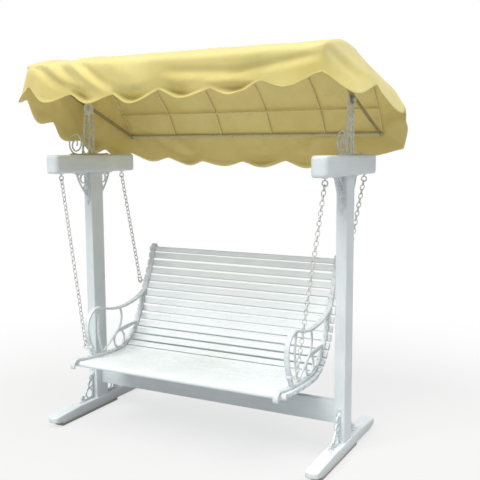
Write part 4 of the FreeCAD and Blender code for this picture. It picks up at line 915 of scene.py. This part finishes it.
@dataclass(frozen=True)
class Hem:
    """The lower edge of one side of the cloth: cusps, the lowest points between them and curled lips.

    Each cusp is a share of the side and a point; each curl is its depth, its place and its width, the
    last two as shares of the scallop. Points are in metres, in the frame of the swing. The billow is the
    outward and upward swell of the cloth above the hem, largest at the share of the side that peak gives
    and as wide as spread. Rounds says how soft each scallop is, and shoulder how high the swell sits.
    """

    cusps: tuple[tuple[float, Place], ...]
    lows: tuple[Place, ...]
    curls: tuple[tuple[float, float, float], ...]
    billow: tuple[float, float] = (0.008, 0.0)
    peak: float = 0.5
    spread: float = 0.30
    rounds: tuple[float, ...] = ()
    shoulder: float = 0.8

    def at(self, share: float) -> tuple[Vector, float, float]:
        """A point of the hem.

        Args:
            share: Share of the side.

        Returns:
            The point, how far down the scallop it lies from 0 at a cusp to 1, and its curl in metres.
        """
        index = sum(share > cusp[0] for cusp in self.cusps[1:-1])
        (first, start), (last, end) = self.cusps[index], self.cusps[index + 1]
        q = (share - first) / (last - first)
        start, end, low = Vector(start), Vector(end), Vector(self.lows[index])
        soft = self.rounds[index] if self.rounds else 0.5
        dip = (1 - soft) * (1 - (2 * q - 1) ** 2) + soft * math.sin(math.pi * q) ** 2
        curl, place, wide = self.curls[index]
        curl *= math.exp(-((q - place) / wide) ** 2)
        return start.lerp(end, q) + (low - start.lerp(end, 0.5)) * dip, dip, curl

    def swell(self, share: float, t: float) -> tuple[float, float]:
        """How far the cloth above the hem swells outwards and upwards.

        Args:
            share: Share of the side.
            t: Share of the way down to the hem.

        Returns:
            The two lengths, in metres.
        """
        along = math.exp(-((share - self.peak) / self.spread) ** 2)
        down = math.sin(math.pi * t ** self.shoulder)
        return self.billow[0] * along * down, self.billow[1] * along * down


@dataclass
class Canopy:
    """The cloth: one sheet over the hoops that hangs in scallops on all four sides.

    Lengths are in metres. Tuck and turn-up are a start and a span, and the painted shade above the curled
    lips is a middle and a width, all as shares of the way down to the hem. Each wrinkle is a height, its
    scale across and front to back, and a seed. The dent, in the bay at the left end, is a depth, its middle
    and its width front to back. The brow is the bend at the roof's edge, in rows and as a share of the roof,
    and the corner is two shares of the roof. Slack is how far the roof may sink between two hoops.
    """

    half_width: float = 0.9395
    arch_y: float = -0.21465
    arch_z: float = 1.49840
    reach: float = 0.80346
    front_angle: float = math.radians(112.34)
    rear_angle: float = math.radians(24.06)
    bulge: float = 0.014
    columns: tuple[int, int] = (172, 112)
    rows: int = 26
    hoops: int = 6
    hoop_reach: float = 0.926
    clear: float = 0.8026
    thickness: float = 0.0022
    deepest_curl: float = 0.026
    hollow_shade_middle: float = 0.885
    hollow_shade_width: float = 0.065
    tuck: tuple[float, float] = (0.56, 0.36)
    tuck_gain: float = 1.5
    turn_up: tuple[float, float] = (0.92, 0.08)
    turn_up_gain: float = 0.85
    wrinkles: tuple[tuple[float, float, float, float], ...] = (
        (0.0050, 2.7, 3.4, 1.3), (0.0016, 13.0, 8.0, 4.1))
    sag: float = 0.0055
    end_sag: float = 1.6
    dent: tuple[float, float, float] = (0.007, -0.36, 0.22)
    slack: float = 0.020
    slack_from_bar: tuple[float, float] = (0.03, 0.08)
    brow: tuple[float, float] = (3.5, 0.020)
    brow_rounds: int = 8
    corner: tuple[float, float] = (0.04, 0.06)
    corner_rounds: int = 24

    def __post_init__(self) -> None:
        """Work out the length of the arch, set out the hems and lay the folds."""
        self.half_arch = self.reach * (self.front_angle - self.rear_angle) / 2
        front, rear = -0.5190, 0.5190
        corners = {"front_left": (-1.018, front, 2.041), "front_right": (0.941, front, 2.122),
                   "rear_left": (-0.942, rear, 1.719), "rear_right": (1.056, rear, 1.746)}
        self.hems = {
            "front": Hem(
                ((0.0, corners["front_left"]), (0.030, (-0.922, -0.528, 2.121)),
                 (0.176, (-0.593, -0.535, 2.062)), (0.333, (-0.302, -0.530, 2.052)),
                 (0.500, (0.001, front, 2.067)), (0.668, (0.319, front, 2.060)),
                 (0.826, (0.615, front, 2.088)), (1.0, corners["front_right"])),
                ((-0.966, -0.524, 2.078), (-0.791, -0.537, 2.023), (-0.467, -0.537, 2.010),
                 (-0.182, -0.525, 2.002), (0.145, front, 2.019), (0.445, front, 2.029),
                 (0.762, front, 2.052)),
                (FLAT_LIP, (0.004, 0.5, 0.3), (0.024, 0.30, 0.24), (0.027, 0.44, 0.34),
                 (0.026, 0.42, 0.30), (0.020, 0.54, 0.30), FLAT_LIP),
                billow=(0.015, 0.0), spread=0.90, shoulder=0.6),
            "rear": Hem(
                ((0.0, corners["rear_left"]), (0.167, (-0.627, rear, 1.689)),
                 (0.315, (-0.347, rear, 1.665)), (0.481, (-0.036, rear, 1.663)),
                 (0.650, (0.281, rear, 1.670)), (0.820, (0.600, rear, 1.672)), (1.0, corners["rear_right"])),
                ((-0.775, rear, 1.662), (-0.465, rear, 1.636), (-0.180, rear, 1.633), (0.113, rear, 1.627),
                 (0.425, rear, 1.625), (0.848, rear, 1.698)),
                ((0.004, 0.5, 0.3), (0.012, 0.6, 0.3), (0.006, 0.4, 0.3), (0.016, 0.5, 0.3),
                 (0.008, 0.5, 0.3), FLAT_LIP)),
            "left": Hem(
                ((0.0, corners["front_left"]), (0.052, (-1.000, -0.462, 2.052)),
                 (0.235, (-0.998, -0.237, 1.922)), (0.445, (-0.995, 0.020, 1.806)),
                 (0.673, (-0.985, 0.270, 1.748)), (1.0, corners["rear_left"])),
                ((-1.016, -0.490, 2.034), (-1.005, -0.362, 1.920), (-1.005, -0.128, 1.812),
                 (-1.000, 0.160, 1.720), (-0.972, 0.400, 1.685)),
                (FLAT_LIP, (0.006, 0.5, 0.3), (0.004, 0.5, 0.3), (0.012, 0.5, 0.3), (0.006, 0.5, 0.3))),
            "right": Hem(
                ((0.0, corners["front_right"]), (0.310, (1.094, -0.132, 2.074)),
                 (0.700, (1.113, 0.300, 1.974)), (1.0, corners["rear_right"])),
                ((1.052, -0.368, 2.018), (1.113, 0.130, 1.952), (1.090, 0.428, 1.876)),
                (FLAT_LIP, FLAT_LIP, FLAT_LIP),
                billow=(0.024, 0.042), peak=0.70, spread=0.20, rounds=(0.5, -0.30, 0.3)),
        }
        self.folds = (
            Fold((-0.880, -0.605), (-0.650, -0.752), -0.019, 0.020),
            Fold((-0.800, -0.600), (-0.615, -0.735), 0.012, 0.020),
            Fold((-0.760, -0.560), (-0.575, -0.712), -0.009, 0.014),
            Fold((-0.705, -0.550), (-0.375, -0.775), 0.015, 0.024),
            Fold((-0.640, -0.545), (-0.345, -0.755), -0.018, 0.024),
            Fold((-0.620, -0.500), (-0.120, -0.740), 0.006, 0.040),
            Fold((-0.860, -0.400), (-0.700, -0.540), -0.008, 0.040),
            Fold((-0.020, -0.630), (0.620, -0.640), 0.007, 0.030),
            Fold((0.080, -0.700), (0.520, -0.722), -0.013, 0.024),
            Fold((0.480, -0.725), (0.915, -0.660), -0.015, 0.024),
            Fold((0.300, -0.760), (0.620, -0.770), 0.007, 0.016),
            Fold((0.380, -0.800), (0.580, -0.806), -0.006, 0.009),
            Fold((0.920, -0.560), (0.560, -0.640), 0.008, 0.030),
            Fold((0.950, -0.560), (1.150, -0.360), -0.007, 0.028),
            Fold((0.960, -0.500), (1.180, -0.220), 0.007, 0.034),
            Fold((0.950, 0.560), (1.190, 0.330), -0.010, 0.026),
            Fold((0.960, 0.480), (1.200, 0.200), 0.008, 0.030),
            Fold((-0.950, -0.560), (-1.150, -0.380), 0.010, 0.028),
            Fold((-0.960, -0.480), (-1.240, -0.240), -0.010, 0.032),
            Fold((-0.970, -0.350), (-1.300, -0.060), 0.008, 0.036),
            Fold((-0.960, 0.520), (-1.220, 0.330), 0.009, 0.030),
            Fold((-0.900, 0.540), (-0.520, 0.740), 0.008, 0.028),
            Fold((-0.860, 0.440), (-0.400, 0.740), -0.010, 0.034),
            Fold((0.900, 0.500), (0.560, 0.740), 0.008, 0.030),
            Fold((0.840, 0.420), (0.380, 0.720), -0.009, 0.036),
        )

    def roof(self, u: float, v: float) -> Vector:
        """A point of the arch.

        Args:
            u: Share of the width, from the left.
            v: Share of the arch, from the front.

        Returns:
            The point on the cloth's outer face.
        """
        angle = self.front_angle + (self.rear_angle - self.front_angle) * v
        return Vector((self.half_width * (2 * u - 1), self.arch_y + self.reach * math.cos(angle),
                       self.arch_z + self.reach * math.sin(angle)))

    def hang(self, u: float, v: float, t: float) -> tuple[Vector, tuple[float, float], float, float]:
        """A point of the hanging cloth.

        Args:
            u: Share of the width, from the left.
            v: Share of the arch, from the front.
            t: Share of the way from the roof's edge down to the hem.

        Returns:
            The point, its place in the flat cut, its distance from the hem, and how much painted shade it
            gets in the dip above a curled lip, from 0 to 1.
        """
        points, cuts, left, hollows = [], [], [], []
        top = self.roof(u, v)
        x, y = top.x, self.half_arch * (2 * v - 1)
        turned_back = 1 - self.turn_up_gain * ease(ramp(t, *self.turn_up))
        # Painted shade above the curled lip: where it sits on the way down to the hem.
        depth = math.exp(-((t - self.hollow_shade_middle) / self.hollow_shade_width) ** 2)
        sides = (("front", v, u, (0, -1)), ("rear", 1 - v, u, (0, 1)),
                 ("left", u, v, (-1, 0)), ("right", 1 - u, v, (1, 0)))
        for name, edge, share, (out_x, out_y) in sides:
            if edge < FREE_EDGE:
                hem, dip, curl = self.hems[name].at(share)
                long = (top - hem).length
                lip = -self.tuck_gain * curl * ease(ramp(t, *self.tuck)) * turned_back
                out, up = self.hems[name].swell(share, t)
                out += self.bulge * dip * t ** 3 + lip
                points.append(top.lerp(hem, t) + Vector((out_x * out, out_y * out, up)))
                cuts.append((x + out_x * t * long, y + out_y * t * long))
                left.append((1 - t) * long)
                # How much painted shade this point gets: full where the curl is deepest.
                hollows.append(min(1.0, curl / self.deepest_curl) * depth)
        return sum(points, Vector()) / len(points), cuts[0], min(left), max(hollows)

    @property
    def pitch(self) -> float:
        """The distance between two hoops."""
        return 2 * self.hoop_reach / (self.hoops - 1)

    def between_hoops(self, x: float) -> float:
        """How far a place is from the hoops beside it.

        Args:
            x: Across the swing.

        Returns:
            From 0 at a hoop, or past the last one, to 1 half way between two hoops.
        """
        if abs(x) >= self.hoop_reach:
            return 0.0
        return math.sin(math.pi * (((x + self.hoop_reach) / self.pitch) % 1.0)) ** 2

    def lift(self, x: float, y: float) -> float:
        """How far the cloth stands off its plain shape at a point of the cut.

        Args:
            x: Across the swing.
            y: Front to back.

        Returns:
            The lift, outwards, in metres.
        """
        swell = sum(fold.rise(x, y) for fold in self.folds)
        for height, across, along, seed in self.wrinkles:
            swell += height * noise.noise(Vector((x * across, y * along, seed)))
        if abs(x) < self.half_width and abs(y) < self.half_arch:
            bay = self.between_hoops(x)
            arch = math.sin(math.pi * (y + self.half_arch) / (2 * self.half_arch))
            swell -= self.sag * bay * arch * (self.end_sag if abs(x) > self.hoop_reach - self.pitch else 1.0)
            if x < self.pitch - self.hoop_reach:
                depth, middle, width = self.dent
                swell -= depth * bay * math.exp(-((y - middle) / width) ** 2)
        return swell

    def clear_of_frame(self, point: Vector) -> Vector:
        """Keep a point of the roof outside the hoops and the bars.

        Args:
            point: A point of the outer face.

        Returns:
            The point, pushed out where it would touch.
        """
        y, z = point.y - self.arch_y, point.z - self.arch_z
        far, angle = math.hypot(y, z), math.atan2(z, y)
        if not self.rear_angle < angle < self.front_angle or abs(point.x) > self.half_width:
            return point
        from_bar = min(self.front_angle - angle, angle - self.rear_angle) * self.reach
        slack = self.slack * self.between_hoops(point.x) * ramp(from_bar, *self.slack_from_bar)
        least = self.clear - slack
        if far >= least:
            return point
        return Vector((point.x, self.arch_y + y * least / far, self.arch_z + z * least / far))

    def flat_grid(self) -> bmesh.types.BMesh:
        """The roof as a flat grid, with the rows of the hanging cloth drawn out of its edges.

        Returns:
            The mesh. Each vertex keeps its share of the width, of the arch and of the way down.
        """
        bm = bmesh.new()
        bmesh.ops.create_grid(bm, x_segments=self.columns[0], y_segments=self.columns[1], size=1)
        share_u, share_v, row = (bm.verts.layers.float.new(name) for name in SHARES)
        for vert in bm.verts:
            vert[share_u], vert[share_v] = (vert.co.x + 1) / 2, (vert.co.y + 1) / 2
        edges = [e for e in bm.edges if e.is_boundary]
        for k in range(self.rows):
            geometry = bmesh.ops.extrude_edge_only(bm, edges=edges)["geom"]
            for vert in (g for g in geometry if isinstance(g, bmesh.types.BMVert)):
                vert[row] = (k + 1) / self.rows
            edges = [g for g in geometry if isinstance(g, bmesh.types.BMEdge) and g.is_boundary]
        return bm

    def lay(self, bm: bmesh.types.BMesh) -> FlatCut:
        """Lay the roof on its arch and hang the four sides.

        Args:
            bm: The flat grid.

        Returns:
            The place of each vertex in the flat cut.
        """
        # Each vertex keeps its distance from the hem and how much painted shade it gets above a curled lip.
        hem, hollow = (bm.verts.layers.float.new(name) for name in ("hem", "hollow"))
        share_u, share_v, row = (bm.verts.layers.float[name] for name in SHARES)
        cut: FlatCut = {}
        for vert in bm.verts:
            u, v, t = vert[share_u], vert[share_v], vert[row]
            u, v = (round(w) if abs(w - round(w)) < FREE_EDGE else w for w in (u, v))
            if t > 0:
                vert.co, cut[vert], vert[hem], vert[hollow] = self.hang(u, v, t)
            else:
                vert.co = self.roof(u, v)
                cut[vert] = (vert.co.x, self.half_arch * (2 * v - 1))
                vert[hem] = NO_HEM
        return cut

    def round_off(self, bm: bmesh.types.BMesh) -> None:
        """Round the bend at the roof's edge and the four hanging corners.

        Args:
            bm: The hung cloth.
        """
        share_u, share_v, row = (bm.verts.layers.float[name] for name in SHARES)
        rows, margin = self.brow
        near = [v for v in bm.verts if v[row] < rows / self.rows and min(
            v[share_u], 1 - v[share_u], v[share_v], 1 - v[share_v]) < margin]
        soften(bm, near, self.brow_rounds)
        wide, deep = self.corner
        corner = [v for v in bm.verts if 0 < v[row] < 1 and min(v[share_u], 1 - v[share_u]) < wide and min(
            v[share_v], 1 - v[share_v]) < deep]
        soften(bm, corner, self.corner_rounds)

    def fold(self, bm: bmesh.types.BMesh, cut: FlatCut) -> None:
        """Turn the faces outwards and lift the cloth in its folds.

        Args:
            bm: The hung cloth.
            cut: The place of each vertex in the flat cut.
        """
        bmesh.ops.recalc_face_normals(bm, faces=bm.faces)
        top = max(bm.faces, key=lambda f: f.calc_center_median().z)
        if top.normal.z < 0:
            bmesh.ops.reverse_faces(bm, faces=bm.faces)
        bm.normal_update()
        moves = {v: v.normal * self.lift(*cut[v]) for v in bm.verts}
        for vert, move in moves.items():
            vert.co = self.clear_of_frame(vert.co + move)

    def map_cut(self, bm: bmesh.types.BMesh, cut: FlatCut) -> None:
        """Write the flat cut as the UV map, with each side valance cut as one straight strip.

        Args:
            bm: The cloth, lifted in its folds.
            cut: The place of each vertex in the flat cut.
        """
        share_u, share_v, row = (bm.verts.layers.float[name] for name in SHARES)
        uv = bm.loops.layers.uv.new("cut")
        for face in bm.faces:
            at_side = all(min(v[share_u], 1 - v[share_u]) < FREE_EDGE for v in face.verts)
            for loop in face.loops:
                vert = loop.vert
                x, y = cut[vert]
                if at_side and vert[row] > 0 and min(vert[share_v], 1 - vert[share_v]) < FREE_EDGE:
                    drop = abs(y) - self.half_arch
                    if drop > FREE_EDGE:
                        x, y = x + math.copysign(drop, vert[share_u] - 0.5), math.copysign(self.half_arch, y)
                loop[uv].uv = (x, y)

    def build(self, carrying: Sequence[str]) -> None:
        """Cut, hang and fold the cloth.

        Args:
            carrying: Names of the pieces that it lies on.
        """
        bm = self.flat_grid()
        cut = self.lay(bm)
        self.round_off(bm)
        self.fold(bm, cut)
        self.map_cut(bm, cut)
        replaced = ["canopy_roof_cloth", *(f"canopy_{side}_valance" for side in ENDS + SIDES)]
        piece = show(bm, "canopy_cloth", "canopy", [CLOTH_OUTSIDE, CLOTH_UNDERSIDE_LIT],
                     replaced, CLOTH_CREASE)
        wall = piece.modifiers.new("cloth_thickness", "SOLIDIFY")
        wall.thickness = self.thickness
        wall.offset = -1.0
        wall.material_offset = 1
        wall.material_offset_rim = 0
        wall.use_quality_normals = True


@dataclass(frozen=True)
class Lamp:
    """A broad lamp far away: how wide it looks, in degrees, and the place it shines from."""

    name: str
    energy: float
    soft: float
    colour: Colour
    place: Place

    def build(self) -> None:
        """Hang the lamp."""
        data = bpy.data.lights.new(self.name, "SUN")
        data.energy = self.energy
        data.angle = math.radians(self.soft)
        data.color = self.colour
        in_scene(self.name, data).rotation_euler = Vector(self.place).to_track_quat("Z", "Y").to_euler()


@dataclass
class Studio:
    """Camera, floor and light."""

    eye: Place = (2.3252, -3.9758, 1.7593)
    yaw: float = 0.4876
    pitch: float = 0.1223
    roll: float = -0.0045
    focus: float = 755.40
    image: int = 480
    sensor: float = 36.0
    far: float = 100.0
    sky: float = 0.37
    sky_colour: Colour = (0.94, 0.97, 1.0)
    floor_half: float = 30.0
    floor_paint: Colour = (0.50, 0.50, 0.50)
    floor_fade: tuple[float, float, float, float] = (1.5, 4.0, 0.72, 1.0)
    lamps: tuple[Lamp, ...] = (Lamp("front_light", 2.3, 26, (1.0, 0.985, 0.955), (-0.30, -1.00, 1.22)),
                               Lamp("top_light", 1.9, 40, (1.0, 0.995, 0.970), (0.32, -0.12, 1.00)))

    def camera(self) -> None:
        """Stand the camera where the photograph was taken."""
        data = bpy.data.cameras.new("view")
        data.sensor_width = self.sensor
        data.lens = self.focus * self.sensor / self.image
        data.clip_end = self.far
        forward = Vector((-math.sin(self.yaw) * math.cos(self.pitch),
                          math.cos(self.yaw) * math.cos(self.pitch), -math.sin(self.pitch)))
        right = Vector((math.cos(self.yaw), math.sin(self.yaw), 0))
        up = right.cross(forward)
        turned = right * math.cos(self.roll) + up * math.sin(self.roll)
        upright = up * math.cos(self.roll) - right * math.sin(self.roll)
        camera = in_scene("view", data)
        aim = Matrix((turned, upright, -forward)).transposed().to_4x4()
        camera.matrix_world = Matrix.Translation(self.eye) @ aim
        bpy.context.scene.camera = camera

    def seen(self, tree: bpy.types.NodeTree) -> Shade:
        """1 where the camera looks, straight or through gloss or glass.

        Args:
            tree: The node tree that asks.

        Returns:
            The mask.
        """
        path = tree.nodes.new("ShaderNodeLightPath")
        straight, gloss, glass = (Shade(tree, path.outputs[f"Is {kind} Ray"])
                                  for kind in ("Camera", "Glossy", "Transmission"))
        return (straight + gloss + glass).smaller(1.0)

    def floor(self) -> None:
        """A plain pale floor that goes white away from the swing and keeps its shadow."""
        bm = bmesh.new()
        bmesh.ops.create_grid(bm, x_segments=2, y_segments=2, size=self.floor_half)
        ground = in_scene("floor", as_mesh(bm, "floor"))
        s = Surface("floor_white")
        away = s.node("ShaderNodeVectorMath", {"operation": "LENGTH"}, {0: s.place()}, output="Value")
        fade = s.band(away, *self.floor_fade)
        s.finish(Base_Color=self.floor_paint, Roughness=0.9, Specular_IOR_Level=0.1)
        glow = s.node("ShaderNodeEmission", inputs={"Color": (1.0, 1.0, 1.0), "Strength": 1.0})
        mixed = s.node("ShaderNodeMixShader", inputs={0: fade * self.seen(s.tree), 2: glow})
        s.tree.links.new(s.shader.outputs[0], mixed.socket.node.inputs[1])
        s.tree.links.new(mixed.socket, s.tree.nodes["Material Output"].inputs["Surface"])
        ground.data.materials.append(s.material)

    def light(self) -> None:
        """A soft even sky that looks white, a broad lamp from the front left and a weaker one overhead."""
        world = bpy.data.worlds.new("sky")
        bpy.context.scene.world = world
        world.use_nodes = True
        tree = world.node_tree
        back = tree.nodes["Background"]
        back.inputs["Color"].default_value = (*self.sky_colour, 1.0)
        back.inputs["Strength"].default_value = self.sky
        white = tree.nodes.new("ShaderNodeBackground")
        white.inputs["Strength"].default_value = 1.0
        white.inputs["Color"].default_value = (1, 1, 1, 1)
        mix = tree.nodes.new("ShaderNodeMixShader")
        connect(tree, mix.inputs[0], self.seen(tree))
        tree.links.new(back.outputs[0], mix.inputs[1])
        tree.links.new(white.outputs[0], mix.inputs[2])
        tree.links.new(mix.outputs[0], tree.nodes["World Output"].inputs["Surface"])
        for lamp in self.lamps:
            lamp.build()

    def build(self) -> None:
        """Set up the studio."""
        self.camera()
        self.floor()
        self.light()
        bpy.context.scene.view_settings.view_transform = "Standard"


def main() -> None:
    """Build the swing and its studio."""
    logging.basicConfig(level=logging.INFO, format="%(message)s")
    Studio().build()
    TimberFrame().build()
    Castings().build()
    Bench().build()
    Chains().build()
    carrying = CanopyFrame().build()
    Canopy().build(carrying)


if __name__ == "__main__":
    main()
